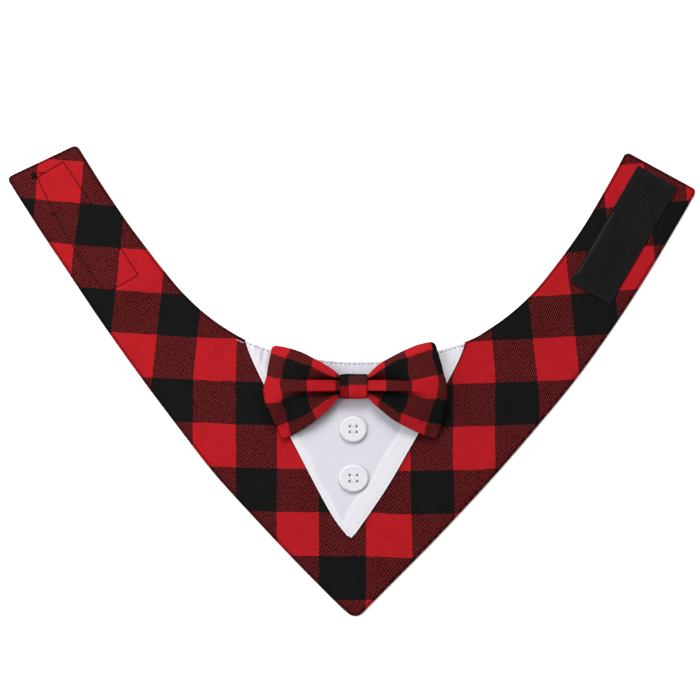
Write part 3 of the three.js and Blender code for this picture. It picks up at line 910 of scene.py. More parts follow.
def sew_body_edge():
    line = offset(BODY_OUTLINE, EDGE_SEAM["inset"])
    paths = stitch_paths(line, EDGE_SEAM, on_body, closed=True)
    x, y, _ = paths.mean(axis=1).T
    left, right = SHIRT_LEFT[0][0] + UNDER_SHIRT["inside"], SHIRT_RIGHT[-1][0] - UNDER_SHIRT["inside"]
    under_shirt = (y > UNDER_SHIRT["above"]) & (x > left) & (x < right)
    sew("edge_stitching", paths[~under_shirt], EDGE_SEAM, DARK_THREAD, "dark_thread")


def tack_paths(tack, seam, height):
    """Strands sewn back and forth over one place."""
    paths = []
    for k in range(tack["strands"]):
        across = (k - (tack["strands"] - 1) / 2) * tack["spacing"]
        ends = [placed(way * tack["length"] / 2, across + way * TACK_SLANT, tack)
                for way in (-1, 1)]
        strand = {**seam, "length": tack["length"], "pitch": tack["length"] - 0.01}
        paths.append(stitch_paths(np.array(ends), strand, height))
    return np.vstack(paths)


def sew_patch():
    """The box of stitches that holds the loop tape, with its thread ends sewn back and forth."""
    paths = [stitch_paths(PATCH_LINE, PATCH_SEAM, on_body, closed=True)]
    paths += [tack_paths(tack, PATCH_SEAM, on_body) for tack in TACKS]
    sew("loop_tape_stitching", np.vstack(paths), PATCH_SEAM, DARK_THREAD, "dark_thread")


# ---------------------------------------------------------------- white shirt front
SHIRT_LINE = shirt_outline()
LEFT_FOLD, RIGHT_FOLD = (evenly(side, CURVE_STEP) for side in shirt_sides())
SHIRT_NECK = evenly(neckline_between(SHIRT_LEFT[0][0], SHIRT_RIGHT[-1][0]), CURVE_STEP)
SHIRT_ROLL = {"inset": [0, 0.12, 0.35, 0.8, 1.1, 1.4, 1.8, 2.4],
              "share": [0.5, 0.78, 0.94, 1.0, 0.95, 0.91, 0.96, 1.0]}
# Gathers along the neckline, drawn in by its stitches and by the folds of the cotton: height, and
# how far they reach down.
GATHERED = {"stitches": (0.2, 5), "folds": (0.22, 9)}
NECK_GROOVE = {"depth": 0.16, "half": 0.5}
# Soft creases pressed into the cotton.
CREASES = [dict(zip(("x", "y", "length", "width", "turn", "height"), row)) for row in (
    (-51.4, 15.5, 12, 1.1, 80, 0.5),
    (-53.6, 14.5, 12, 0.9, 78, -0.45),
    (-57.0, 12, 14, 1.4, 76, 0.25),
    (53.3, 12.5, 12, 1.1, -80, 0.5),
    (55.4, 12, 12, 0.9, -80, -0.4),
    (59.6, 13, 12, 1.4, -84, 0.25),
    (-27, -30, 20, 4, 62, 0.25),
    (25, -33, 22, 4, -58, 0.22),
    (12, -70, 18, 4.5, 50, 0.15),
    (-15, 10, 8, 1.5, 84, 0.35),
    (-5, 9, 7, 1.5, 92, 0.25),
    (14, 9, 8, 1.5, -84, 0.35),
)]
# The loose thread ends at the front's top corners.
TAILS = [
    {"name": "white_thread_end", "line": [(-69.6, 25.3), (-64.9, 23.2)], "rise": 0.12,
     "seam": {"radius": 0.17, "pitch": 1.7, "length": 1.5},
     "thread": WHITE_THREAD, "slot": "white_thread"},
    {"name": "black_thread_end", "line": [(64.5, 20.55), (68.1, 22.35)], "rise": 1.5,
     "seam": {"radius": 0.34, "pitch": 4.0, "length": 4.0},
     "thread": DARK_THREAD, "slot": "dark_thread"},
]


def crease_height(x, y):
    total = np.zeros(len(x))
    for crease in CREASES:
        along, across = turned(x, y, crease)
        along, across = along / crease["length"] * 2, across / crease["width"]
        total += crease["height"] * np.exp(-across ** 2) * np.exp(-along ** 4)
    return total


def doubled_share(xy):
    """1 where the shirt's sides are turned under, 0 past the wavy inner edge of that hem."""
    x, y = xy.T
    wavy = 0.8 * np.sin(x / 6.1 + y / 9.3) + 0.6 * np.sin(y / 4.7 - x / 11)
    inside = np.minimum(distance_to(LEFT_FOLD, xy) - HEM["left"],
                        distance_to(RIGHT_FOLD, xy) - HEM["right"])
    return 1 - smoothstep((inside + wavy) / HEM["ramp"] + 0.5)


def shirt_top(xy, inset, along):
    x, y = xy.T
    from_neck = distance_to(SHIRT_NECK, xy)
    waves = {"stitches": np.cos(2 * math.pi * x / NECK_SEAM["pitch"] + 1.1 * np.sin(x / 6)),
             "folds": np.cos(x * 1.25 + 1.6 * np.sin(x / 4.3))}
    gather = sum(height * ridge(from_neck, 0, reach) * waves[key]
                 for key, (height, reach) in GATHERED.items())
    groove = NECK_GROOVE["depth"] * ridge(from_neck, NECK_SEAM["inset"], NECK_GROOVE["half"])
    body = (SHIRT_CLOTH + HEM["rise"] * doubled_share(xy)) * rolled(SHIRT_ROLL, inset)
    return SHIRT_BASE + body + (gather - groove + crease_height(x, y)) * smoothstep(inset / 2)


def shirt_low(xy, inset, along):
    return SHIRT_BASE + SHIRT_CLOTH * rolled(UNDER_ROLL, inset)


on_shirt = face_of(shirt_top, SHIRT_LINE)


def cotton_uv(x, y):
    return np.column_stack([x, y]) / 10


def make_shirt():
    top = cloth_side(SHIRT_LINE, SHIRT_ROLL, 1.1, 2.9, shirt_top)
    low = cloth_side(SHIRT_LINE, UNDER_ROLL, 4.0, 2.2, shirt_low)
    shirt = cloth_plate("cotton_shirt_front", SHIRT_LINE, top, low, cotton_uv, cotton_uv, COTTON)
    at = plan_points(shirt)
    set_hem(shirt, distance_to(np.vstack([LEFT_FOLD, RIGHT_FOLD]), at), doubled_share(at))
    return finish_piece(shirt, "white_cotton", "shirt_front")


def beside(line, gap):
    """The line moved to its left by a gap."""
    return line + to_left(directions(line)) * gap


def sew_shirt():
    paths = [stitch_paths(beside(fold, FOLD_SEAM["inset"]), FOLD_SEAM, on_shirt, start=1.5)
             for fold in (LEFT_FOLD, RIGHT_FOLD)]
    sew("shirt_fold_stitching", np.vstack(paths), FOLD_SEAM, WHITE_THREAD, "white_thread")
    neck = beside(SHIRT_NECK, -NECK_SEAM["inset"])
    paths = stitch_paths(neck, NECK_SEAM, on_shirt, start=1.0)
    sew("neckline_stitching", paths, NECK_SEAM, PALE_THREAD, "white_thread")
    for tail in TAILS:
        paths = stitch_paths(np.array(tail["line"]), tail["seam"],
                             lambda x, y: on_body(x, y) + tail["rise"])
        sew(tail["name"], paths, tail["seam"], tail["thread"], tail["slot"])


# ---------------------------------------------------------------- closure tapes
TAPE_CORNER = 0.8
TAPE_ROLL = {"inset": [0, 0.1, 0.3, 0.6], "share": [0.5, 0.82, 0.96, 1.0]}
TAPE_TACK = {"x": 181.0, "y": 94.4, "turn": 60, "strands": 2, "spacing": 0.9, "length": 8.0}
SPECKS = (-34, 10)  # where the light specks on the hook tape's inner seam start and stop
RIBS = {"height": 0.09, "beyond": 0.6, "ramp": 0.8}
TAPE_GROOVE = {"depth": 0.14, "half": 0.45}
HOOK = {"tall": 0.9, "radius": 0.11, "stray": 0.08, "lean": (0.85, 1.1), "heights": (0.9, 1.04),
        "askew": 0.25}
# A hook seen from its side: how far it leans over and how high it stands, in shares of its height.
HOOK_PATH = [(0.0, -0.25), (0.0, 0.35), (0.03, 0.66), (0.2, 0.92), (0.46, 0.98), (0.62, 0.78),
             (0.64, 0.58)]
# The loop tape's edge and the rounding under it, in shares of its thickness, and in millimetres
# how uneven its pile is and how far in from the edge that starts.
PILE = {"edge": 0.62, "under": 0.6, "tuft": 0.35, "ramp": 1.5}


def tape_outline(tape):
    half = np.array([tape["length"], tape["width"]]) / 2
    corners = [(-1, -1), (1, -1), (1, 1), (-1, 1)]
    points = [np.array(placed(*(half * c), tape)) for c in corners]
    runs = [evenly(np.array([points[k], points[(k + 1) % 4]]), 1.0) for k in range(4)]
    return closed_outline(runs, TAPE_CORNER)


def make_tape(name, tape, outline, top, low):
    """A tape. top and low each hold the spacing of a face's points and its height."""
    def uv(x, y):
        return np.column_stack(turned(x, y, tape)) / 10

    top, low = (cloth_side(outline, TAPE_ROLL, spacing, 1.0, height_of)
                for spacing, height_of in (top, low))
    return cloth_plate(name, outline, top, low, uv, uv, TAPE)


def hook_tape_top(xy, inset, along):
    a, b = turned(*xy.T, HOOK_TAPE)
    rows = RIBS["height"] * np.cos(2 * math.pi * a / HOOK_ROWS["pitch"])
    field = smoothstep((HOOK_ROWS["across"] / 2 + RIBS["beyond"] - np.abs(b)) / RIBS["ramp"])
    seam = TAPE_GROOVE["depth"] * ridge(inset, TAPE_SEAM["inset"], TAPE_GROOVE["half"])
    return HOOK_BASE + HOOK_THICK * rolled(TAPE_ROLL, inset) + rows * field - seam


def hook_tape_low(xy, inset, along):
    return HOOK_BASE + HOOK_THICK * (1 - rolled(TAPE_ROLL, inset))


def make_hook_tape():
    outline = tape_outline(HOOK_TAPE)
    tape = make_tape("hook_tape_base", HOOK_TAPE, outline, (0.62, hook_tape_top),
                     (3.0, hook_tape_low))
    finish_piece(tape, "hook_nylon", "hook_tape")
    on_tape = face_of(hook_tape_top, outline)
    paths = stitch_paths(offset(outline, TAPE_SEAM["inset"]), TAPE_SEAM, on_tape, closed=True)
    paths = np.vstack([paths, tack_paths(TAPE_TACK, TAPE_SEAM, on_tape)])
    sew("hook_tape_stitching", paths, TAPE_SEAM, DARK_THREAD, "dark_thread")
    across = HOOK_TAPE["width"] / 2 - TAPE_SEAM["inset"]
    specks = np.array([placed(along, across, HOOK_TAPE) for along in SPECKS])
    paths = stitch_paths(specks, SPECK_SEAM, on_tape)
    sew("hook_tape_inner_stitching", paths, SPECK_SEAM, GREY_THREAD, "white_thread")


def make_hooks():
    rng = np.random.default_rng(5)
    rows = int((HOOK_TAPE["length"] - 2 * HOOK_ROWS["end"]) / HOOK_ROWS["pitch"])
    columns = int(HOOK_ROWS["across"] / HOOK_ROWS["spacing"])
    tall = HOOK["tall"]
    paths = []
    for i in range(rows):
        for j in range(columns):
            a = (i - (rows - 1) / 2) * HOOK_ROWS["pitch"]
            b = (j - (columns - 1) / 2) * HOOK_ROWS["spacing"]
            a, b = np.array([a, b]) + rng.uniform(-HOOK["stray"], HOOK["stray"], 2)
            lean = (1 if (i + j) % 2 else -1) * rng.uniform(*HOOK["lean"])
            height = tall * rng.uniform(*HOOK["heights"])
            askew = rng.uniform(-HOOK["askew"], HOOK["askew"])
            path = []
            for over, up in HOOK_PATH:
                x, y = placed(a + askew * over * tall, b + lean * over * tall, HOOK_TAPE)
                path.append((x, y, HOOK_BASE + HOOK_THICK + up * height))
            paths.append(path)
    hooks = tubes("nylon_hooks", paths, HOOK["radius"], 5, NYLON)
    set_hem(hooks, *turned(*plan_points(hooks).T, HOOK_TAPE))
    finish_piece(hooks, "hook_nylon")


def make_loop_tape():
    rng = np.random.default_rng(11)

    def top(xy, inset, along):
        return LOOP_THICK * (PILE["edge"] + (1 - PILE["edge"]) * rolled(TAPE_ROLL, inset))

    def low(xy, inset, along):
        tuft = rng.uniform(0, PILE["tuft"], len(xy)) * smoothstep(inset / PILE["ramp"])
        return LOOP_THICK * PILE["under"] * (1 - rolled(TAPE_ROLL, inset)) + tuft

    outline = tape_outline(LOOP_TAPE)
    tape = make_tape("loop_tape_pile", LOOP_TAPE, outline, (3.0, top), (0.6, low))
    finish_piece(tape, "loop_pile", "loop_tape")


# ---------------------------------------------------------------- buttons
BUTTONS = [
    {"name": "button_upper", "x": 0.5, "y": -28.4, "radius": 8.0, "across": 3.7, "down": 3.4,
     "oval": (1.03, 0.985)},
    {"name": "button_lower", "x": 0.6, "y": -57.8, "radius": 8.6, "across": 4.2, "down": 3.6,
     "oval": (1.045, 0.96)},
]
BUTTON_THICK = 2.1
DISHED = BUTTON_THICK - 0.2  # the middle lies a little below the disc's full thickness
# The button's edge seen in section: in from the edge, and up in shares of the thickness.
BUTTON_SECTION = [(1.0, 0), (0.4, 0.03), (0.05, 0.12), (0.0, 0.3), (0.06, 0.52), (0.22, 0.72),
                  (0.5, 0.85), (0.9, 0.915), (1.5, 0.935), (2.4, 0.92), (3.9, 0.905)]
SHARP_FROM = 38  # degrees
HOLE_RADIUS = 0.78
# A hole's softened upper edge: out from the hole's radius, and up from the button's dished face.
HOLE_RIM = [(0, -0.35), (0.05, -0.1), (0.22, 0.02), (0.22, 1)]
STRANDS = {"spacing": 0.24, "radius": 0.18, "sink": 0.05, "fall": 0.03, "past_hole": 0.15,
           "shorter": 0.3}


def lathe(profile, segments):
    """A closed turned mesh from a profile of radius and height that starts and ends on the axis."""
    inner = profile[1:-1]
    turn = 2 * math.pi * np.arange(segments) / segments
    points = [(0, 0, profile[0][1])]
    for r, z in inner:
        points += [(r * math.cos(t), r * math.sin(t), z) for t in turn]
    points.append((0, 0, profile[-1][1]))
    faces = []
    last = len(points) - 1
    for k in range(segments):
        n = (k + 1) % segments
        faces.append([0, 1 + n, 1 + k])
        for s in range(len(inner) - 1):
            a, b = 1 + s * segments, 1 + (s + 1) * segments
            faces.append([a + k, a + n, b + n, b + k])
        top = 1 + (len(inner) - 1) * segments
        faces.append([top + k, top + n, last])
    return np.array(points, float), faces


def lathe_piece(name, profile, segments, place, stretch=(1, 1)):
    """A turned piece standing on the white front, stretched along X and Y."""
    points, faces = lathe(profile, segments)
    points = points * np.array([*stretch, 1]) + np.array([*place, BUTTON_BASE])
    return make_object(name, points, faces, [points[v][:2] for face in faces for v in face], RESIN)


def drill_hole(disc, place):
    """Takes a hole with a softened upper edge out of a disc."""
    rim = [(HOLE_RADIUS + out, DISHED + up) for out, up in HOLE_RIM]
    profile = [(0, -1), (HOLE_RADIUS, -1)] + rim + [(0, DISHED + 1)]
    drill = lathe_piece("drill", profile, 28, place)
    cut = disc.modifiers.new("hole", "BOOLEAN")
    cut.operation, cut.object, cut.solver = "DIFFERENCE", drill, "EXACT"
    bpy.context.view_layer.update()
    solid = disc.evaluated_get(bpy.context.evaluated_depsgraph_get())
    old, disc.data = disc.data, bpy.data.meshes.new_from_object(solid)
    disc.modifiers.clear()
    bpy.data.meshes.remove(old)
    bpy.data.objects.remove(drill)


def make_button(button):
    edge = smooth_line([(button["radius"] - inset, up * BUTTON_THICK)
                        for inset, up in BUTTON_SECTION], 4)
    profile = [(0, 0)] + edge.tolist() + [(0, DISHED)]
    disc = lathe_piece(button["name"] + "_resin", profile, 96, (button["x"], button["y"]),
                       button["oval"])
    for i in (-1, 1):
        for j in (-1, 1):
            drill_hole(disc, (button["x"] + i * button["across"] / 2,
                              button["y"] + j * button["down"] / 2))
    disc.data.set_sharp_from_angle(angle=math.radians(SHARP_FROM))
    finish_piece(disc, "button_plastic", button["name"])


def sew_button(button):
    """Two bars of thread, each of three strands laid side by side from hole to hole."""
    face = BUTTON_BASE + DISHED
    half = button["across"] / 2
    paths = []
    for row in (-1, 1):
        for strand in (-1, 0, 1):
            y = button["y"] + row * button["down"] / 2 + strand * STRANDS["spacing"]
            rise = -STRANDS["sink"] - STRANDS["fall"] * abs(strand)
            reach = half + STRANDS["past_hole"] - STRANDS["shorter"] * abs(strand)
            end = [(reach - 0.05, -1.5), (reach - 0.12, -0.5), (reach - 0.5, -0.04),
                   (half * 0.4, rise)]
            section = [(-x, z) for x, z in end] + [(0, rise + 0.03)] + end[::-1]
            line = [(button["x"] + x, y, face + z) for x, z in section]
            paths.append(smooth_line(line, 4))
    piece = tubes(button["name"] + "_thread", paths, STRANDS["radius"], 8, BUTTON_THREAD)
    finish_piece(piece, "white_thread")


# ---------------------------------------------------------------- bow tie
# Where the changes of colour and the edges of each wing lie above the knot's middle, at a row of
# places out from it: top edge, the lines between the rows of the check, and bottom edge.
WINGS = {
    "right": {
        "out":    [0.0,  7.2,  9.0,  12.0,  16.0,  24.0,  32.0,  40.0,  47.0,  56.0],
        "top":    [5.4,  5.6,  7.4,  10.6,  13.9,  18.5,  22.4,  25.4,  26.6,  26.9],
        "ab":     [4.6,  4.7,  5.4,   7.0,  10.0,  14.4,  17.4,  20.2,  21.7,  22.4],
        "bc":     [3.7,  3.8,  4.0,   4.0,   4.0,   3.9,   3.4,   4.7,   6.6,   7.9],
        "cd":     [-2.8, -2.8, -2.9, -2.9,  -2.9,  -3.2,  -3.9,  -6.1,  -7.4,  -8.2],
        "de":     [-4.1, -4.2, -4.6, -6.0,  -8.4, -13.6, -17.5, -20.2, -22.0, -23.4],
        "bottom": [-5.4, -5.6, -7.2, -10.6, -14.0, -20.3, -24.6, -28.4, -30.9, -32.6],
    },
    "left": {
        "out":    [0.0,  7.2,  9.0,  12.0,  16.0,  24.0,  32.0,  40.0,  47.0,  54.0],
        "top":    [5.4,  5.6,  7.2,   9.8,  12.4,  16.9,  20.8,  23.2,  24.4,  24.6],
        "ab":     [4.6,  4.7,  5.2,   5.9,   7.4,  11.4,  14.0,  17.1,  19.2,  20.0],
        "bc":     [3.7,  3.9,  4.0,   4.0,   4.0,   4.0,   4.0,   4.5,   5.2,   5.9],
        "cd":     [-2.8, -3.1, -3.6, -3.6,  -3.5,  -3.4,  -4.2,  -6.4,  -9.7, -11.0],
        "de":     [-4.1, -4.2, -4.9, -6.0,  -8.3, -13.9, -18.6, -21.8, -24.4, -26.2],
        "bottom": [-5.4, -5.6, -7.4, -10.8, -14.8, -21.3, -26.6, -30.8, -33.6, -35.0],
    },
}
# The same lines across the strip of cloth, in squares of the check.
ACROSS = {"bottom": -1.55, "de": -1.0, "cd": 0.0, "low": 0.31, "mid": 0.5, "high": 0.69,
          "bc": 1.0, "ab": 2.0, "top": 2.4}
# The middle pleat's flat top: its middle, half its width, and how far inside the lines it stays.
PLEAT = {"middle": 0.55, "half": 3.05, "inside": 0.25}
# How far each wing's end fold lies out from the knot, across the strip.
FOLD = {
    "left":  {"across": [-1.55, -1.48, -1.0, -0.75, -0.5, -0.27, -0.1, 0.1, 0.31, 0.5, 0.75,
                         1.4, 2.0, 2.3, 2.4],
              "reach":  [41.6, 43.0, 46.0, 48.1, 49.2, 50.2, 51.8, 53.3, 54.0, 53.6, 52.7,
                         51.4, 49.7, 49.0, 47.2]},
    "right": {"across": [-1.55, -1.48, -1.0, -0.4, 0.0, 0.5, 1.0, 1.4, 2.0, 2.3, 2.4],
              "reach":  [48.6, 50.0, 52.6, 54.9, 56.0, 55.7, 53.9, 52.5, 49.9, 48.6, 46.9]},
}
# The loop from under the knot, out along the lower layer, round the fold and back on top:
# reach from 0 at the knot to 1 at the fold, and height of the cloth's outer face.
ROUTE = [(0.0, 5.4), (0.17, 5.4), (0.42, 4.5), (0.72, 4.35), (0.9, 4.75), (0.975, 6.2),
         (1.0, 8.6), (0.985, 11.0), (0.93, 13.2), (0.8, 15.2), (0.62, 16.0), (0.42, 15.2),
         (0.26, 13.2), (0.17, 11.4), (0.13, 10.8), (0.0, 10.7)]
# The row of the route that lies furthest out, points for each row, and the length round that row
# where points lie closer.
FOLD_ROW = {"row": 6, "points": 80, "before": 9, "after": 12}
BOW_STEPS = {"lower": 44, "fold": 34, "upper": 84}
WING_REACH = 54.0
ROUND_FOLD = 0.3  # how much of a square goes round the fold
# How far the pleat's foot, the upper outer ridge and free edge, and the lower ones, lie below the
# middle pleat.
RELIEF = {"reach": [0.0, 0.13, 0.17, 0.26, 0.42, 0.62, 0.8, 0.93, 1.0],
          "foot":  [2.4, 2.8, 4.3, 5.5, 4.8, 2.8, 1.0, 0.1, 0.0],
          "ridge": [0.9, 1.0, 0.7, 0.9, 1.3, 1.6, 1.2, 0.5, 0.0],
          "edge":  [2.0, 2.1, 2.2, 3.0, 4.2, 4.8, 3.9, 2.0, 0.3],
          "keel":  [0.9, 1.0, 1.6, 2.6, 3.8, 4.4, 3.6, 1.8, 0.2],
          "skirt": [2.0, 2.1, 2.4, 3.7, 5.2, 6.0, 5.0, 2.7, 0.4]}
GATHERS = {"height": 0.2, "out": 9, "half": 6, "count": 17, "start": 1.3}
# How dark the painted shade in the valleys beside the middle pleat is, out from the knot.
PAINTED_VALLEY = {"reach": [0.0, 0.13, 0.17, 0.3, 0.45, 0.65], "shade": [0.76, 0.76, 0.72, 0.57, 0.3, 0.0]}
PAINTED_VALLEY_SPREAD = {"steep": 0.2, "below": 0.85, "above": 0.5}
# Painted shade on the right wing's upper corner: past which square along and across, and how dark.
PAINTED_CORNER_SHADE = {"along": (2, 2.08), "across": (1.95, 2.03), "dark": 0.89}
# The loop's lower corners are pressed almost flat, and their very ends droop past the shirt's sides.
PRESS = {"rest": 4.35, "keep": 0.4, "reach": (0.45, 0.95), "across": (0.2, -1.5),
         "droop": 1.2, "droop_reach": (0.8, 0.98)}
EDGE_ROUND = 0.55
# How far out along each wing the check changes colour, at places across the strip.
COLUMNS_ACROSS = [-1.55, -1.0, 0.0, 0.5, 1.0, 2.0, 2.4]
COLUMN_LINES = {
    "right": [(14.6, 15.8, 18.6, 19.3, 19.2, 18.5, 17.1),
              (26.8, 29.4, 33.4, 34.8, 34.0, 31.5, 30.2),
              (41.9, 44.5, 49.0, 50.8, 50.2, 46.8, 45.9)],
    "left":  [(9.0, 9.6, 10.8, 11.0, 11.0, 10.4, 9.8),
              (22.2, 25.0, 28.0, 28.2, 27.9, 25.4, 23.8),
              (36.9, 39.6, 42.4, 44.2, 43.2, 40.2, 38.2)],
}


def between(span, at):
    """0 before a span, 1 past it, and smooth across it."""
    return smoothstep((at - span[0]) / (span[1] - span[0]))


def across_samples():
    """Places across the strip, closest together on the steep sides of the middle pleat."""
    low, high = ACROSS["bottom"], ACROSS["top"]
    spans = [(low, -1.0, 9), (-1.0, -0.12, 14), (-0.12, 0.42, 16), (0.42, 0.58, 4),
             (0.58, 1.12, 16), (1.12, 2.0, 14), (2.0, high, 8)]
    parts = [np.linspace(a, b, n, endpoint=False) for a, b, n in spans]
    near_edge = np.array([0.004, 0.012, 0.028])
    return np.unique(np.concatenate(parts + [[high], low + near_edge, high - near_edge]))


def in_order(rows, v):
    """Values at places across the strip, from one row for each named line of it."""
    order = sorted(ACROSS, key=ACROSS.get)
    return glide([ACROSS[key] for key in order], np.stack([rows[key] for key in order]), v)


def wing_heights(wing, out, v):
    """Plan height above the knot's middle, a row for each place across and a column for each out."""
    rows = {key: glide(wing["out"], wing[key], out) for key in wing if key != "out"}
    rows["low"] = np.maximum(rows["cd"] + PLEAT["inside"], PLEAT["middle"] - PLEAT["half"])
    rows["high"] = np.minimum(rows["bc"] - PLEAT["inside"], PLEAT["middle"] + PLEAT["half"])
    rows["mid"] = (rows["low"] + rows["high"]) / 2
    return in_order(rows, v)


def wing_relief(reach, v, pleated):
    """How far the cloth lies below the middle pleat's top, with or without that pleat."""
    below = {key: -glide(RELIEF["reach"], RELIEF[key], reach) for key in RELIEF if key != "reach"}
    top = np.zeros(len(reach)) if pleated else below["foot"]
    lines = {"bottom": "skirt", "de": "keel", "cd": "foot", "bc": "foot", "ab": "ridge", "top": "edge"}
    rows = {line: below[key] for line, key in lines.items()}
    return in_order({**rows, "low": top, "mid": top, "high": top}, v)


def pressed(z, reach, v):
    """Heights of the loop with its lower corners pressed down."""
    low_corner = between(PRESS["across"], v)[None]
    share = between(PRESS["reach"], reach)[:, None] * low_corner
    droop = PRESS["droop"] * between(PRESS["droop_reach"], reach)[:, None] * low_corner
    return PRESS["rest"] + (z - PRESS["rest"]) * (1 - (1 - PRESS["keep"]) * share) - droop


def route_samples():
    """Reach and height along half the loop, its direction, and a share that is 1 on top."""
    line = smooth_line(ROUTE, FOLD_ROW["points"]) * np.array([WING_REACH, 1.0])
    along = lengths_along(line)
    turn_at = along[FOLD_ROW["row"] * FOLD_ROW["points"]]
    start, stop = turn_at - FOLD_ROW["before"], turn_at + FOLD_ROW["after"]
    at = np.concatenate([np.linspace(0, start, BOW_STEPS["lower"], endpoint=False),
                         np.linspace(start, stop, BOW_STEPS["fold"], endpoint=False),
                         np.linspace(stop, along[-1], BOW_STEPS["upper"])])
    path = at_lengths(line, at)
    upper = smoothstep((at - turn_at) / FOLD_ROW["before"])
    return path[:, 0] / WING_REACH, path[:, 1], directions(path), upper


def wing_squares(side, out, v):
    """The check's count along the strip at each point of a wing."""
    marks = np.stack([glide(COLUMNS_ACROSS, line, v) for line in COLUMN_LINES[side]])
    squares = np.zeros_like(out)
    for j in range(len(v)):
        beyond_marks = marks[0, j] - 2 * BOW_COLUMN, marks[2, j] + 2 * BOW_COLUMN
        xs = np.concatenate([beyond_marks[:1], marks[:, j], beyond_marks[1:]])
        squares[:, j] = np.interp(out[:, j], xs, [-2, 0, 1, 2, 4])
        fold_row = int(np.argmax(out[:, j]))
        run = (out[fold_row, j] - out[:fold_row, j]) / BOW_COLUMN
        squares[:fold_row, j] = squares[fold_row, j] + ROUND_FOLD + run
    return squares if side == "right" else -2 - squares


def wing_faces(side, v):
    """The outer and inner faces of one wing's half of the loop, and its check's count."""
    way = 1 if side == "right" else -1
    reach, z, ahead, upper = route_samples()
    out = reach[:, None] * glide(FOLD[side]["across"], FOLD[side]["reach"], v)[None]
    grid = np.arange(0, WING_REACH + 4, 0.25)
    heights = wing_heights(WINGS[side], grid, v)
    y = np.stack([np.interp(out[:, j], grid, heights[j]) for j in range(len(v))], axis=1)
    gathers = ridge(out, GATHERS["out"], GATHERS["half"]) * GATHERS["height"]
    gathers = gathers * np.sin(v * GATHERS["count"] + GATHERS["start"])
    high = z[:, None] + (wing_relief(reach, v, True).T + gathers) * upper[:, None]
    flat = z[:, None] + wing_relief(reach, v, False).T * upper[:, None]
    inner_out, inner_z = out - ahead[:, 1:] * BOW_CLOTH, ahead[:, :1] * BOW_CLOTH
    outer = np.stack([way * out, y, pressed(high, reach, v)], axis=2)
    inner = np.stack([way * inner_out, y, pressed(flat, reach, v) + inner_z], axis=2)
    return outer, inner, wing_squares(side, out, v)


def painted_valley_shade(v):
    """How much painted shade each point of a wing gets in the valleys, 0 to 1."""
    reach, _, _, upper = route_samples()
    outward = glide(PAINTED_VALLEY["reach"], PAINTED_VALLEY["shade"], np.minimum(reach, PAINTED_VALLEY["reach"][-1])) * upper
    near = np.zeros(len(v))
    for foot, way, gentle in ((ACROSS["cd"], -1, "below"), (ACROSS["bc"], 1, "above")):
        outside = (v - foot) * way
        spread = np.where(outside > 0, PAINTED_VALLEY_SPREAD[gentle], PAINTED_VALLEY_SPREAD["steep"])
        near = np.maximum(near, ridge(outside, 0, spread))
    return outward[:, None] * near[None]


def make_bow_loop():
    v = across_samples()
    right, left = wing_faces("right", v), wing_faces("left", v)
    outer, inner, squares = (np.concatenate([r, l[-2:0:-1]]) for r, l in zip(right, left))
    middle = (outer + inner) / 2
    # The strip thins toward its free edges, so that they end rounded.
    from_edge = np.minimum(v - v[0], v[-1] - v) * BOW_CHECK
    thin = 1 - np.clip(from_edge / EDGE_ROUND, 0, 1)
    tuck = np.sqrt(np.clip(1 - thin ** 2, 0.0, 1))[None, :, None]
    around, across = outer.shape[:2]
    points = np.vstack([(middle + (face - middle) * tuck).reshape(-1, 3) for face in (outer, inner)])
    points += np.array([BOW["x"], BOW["y"], 0])
    faces, uvs = [], []
    for a, b, c, d in grid(around, across - 1):
        for corners, start in (((b, c, d, a), 0), ((a, d, c, b), around * across)):
            faces.append([start + i % around * across + j for i, j in corners])
            uvs += [(squares[i % around, j], v[j] + 1) for i, j in corners]
    loop = make_object("bow_loop_flannel", points, faces, uvs, BOW_FLANNEL)
    # painted shade in the valleys beside the middle pleat
    shade = painted_valley_shade(v)
    # painted shade on the right wing's upper corner, joined to the valleys' painted shade
    corner = between(PAINTED_CORNER_SHADE["along"], right[2]) * between(PAINTED_CORNER_SHADE["across"], v)[None] * PAINTED_CORNER_SHADE["dark"]
    shade = np.concatenate([np.maximum(shade, corner), shade[-2:0:-1]]).ravel()
    set_hem(loop, np.tile(from_edge, 2 * around), np.tile(shade, 2))
    return finish_piece(loop, "check_flannel", "bow_loop")


KNOT = {"half_width": 8.2, "half_height": 7.45, "bottom": 3.65, "top": 12.2, "cloth": 1.15}
# Half of the band's section across its width: place across, and depth in from the outer face.
KNOT_SECTION = [(0.0, 0.0), (0.4, 0.0), (0.8, 0.02), (0.93, 0.1), (0.985, 0.3), (1.0, 0.6),
                (0.975, 0.92), (0.88, 1.0), (0.3, 1.0)]
KNOT_SQUARE = (0.42, 0.5)  # how squarely the band goes round, in plan and in height
KNOT_CHECK = {"column": -2.9, "row": 1.0}
KNOT_SAG = {"sides": 0.1, "folds": 0.08, "width": 0.012}
KNOT_LOWER_LEFT_SHADE = 0.55  # painted shade: how dark the red is in the knot's lower left square, where red yarn lies on top
KNOT_BROW = {"dark": 0.61, "span": (0.5, 1.6)}  # painted shade on its upper edge, in from the edge


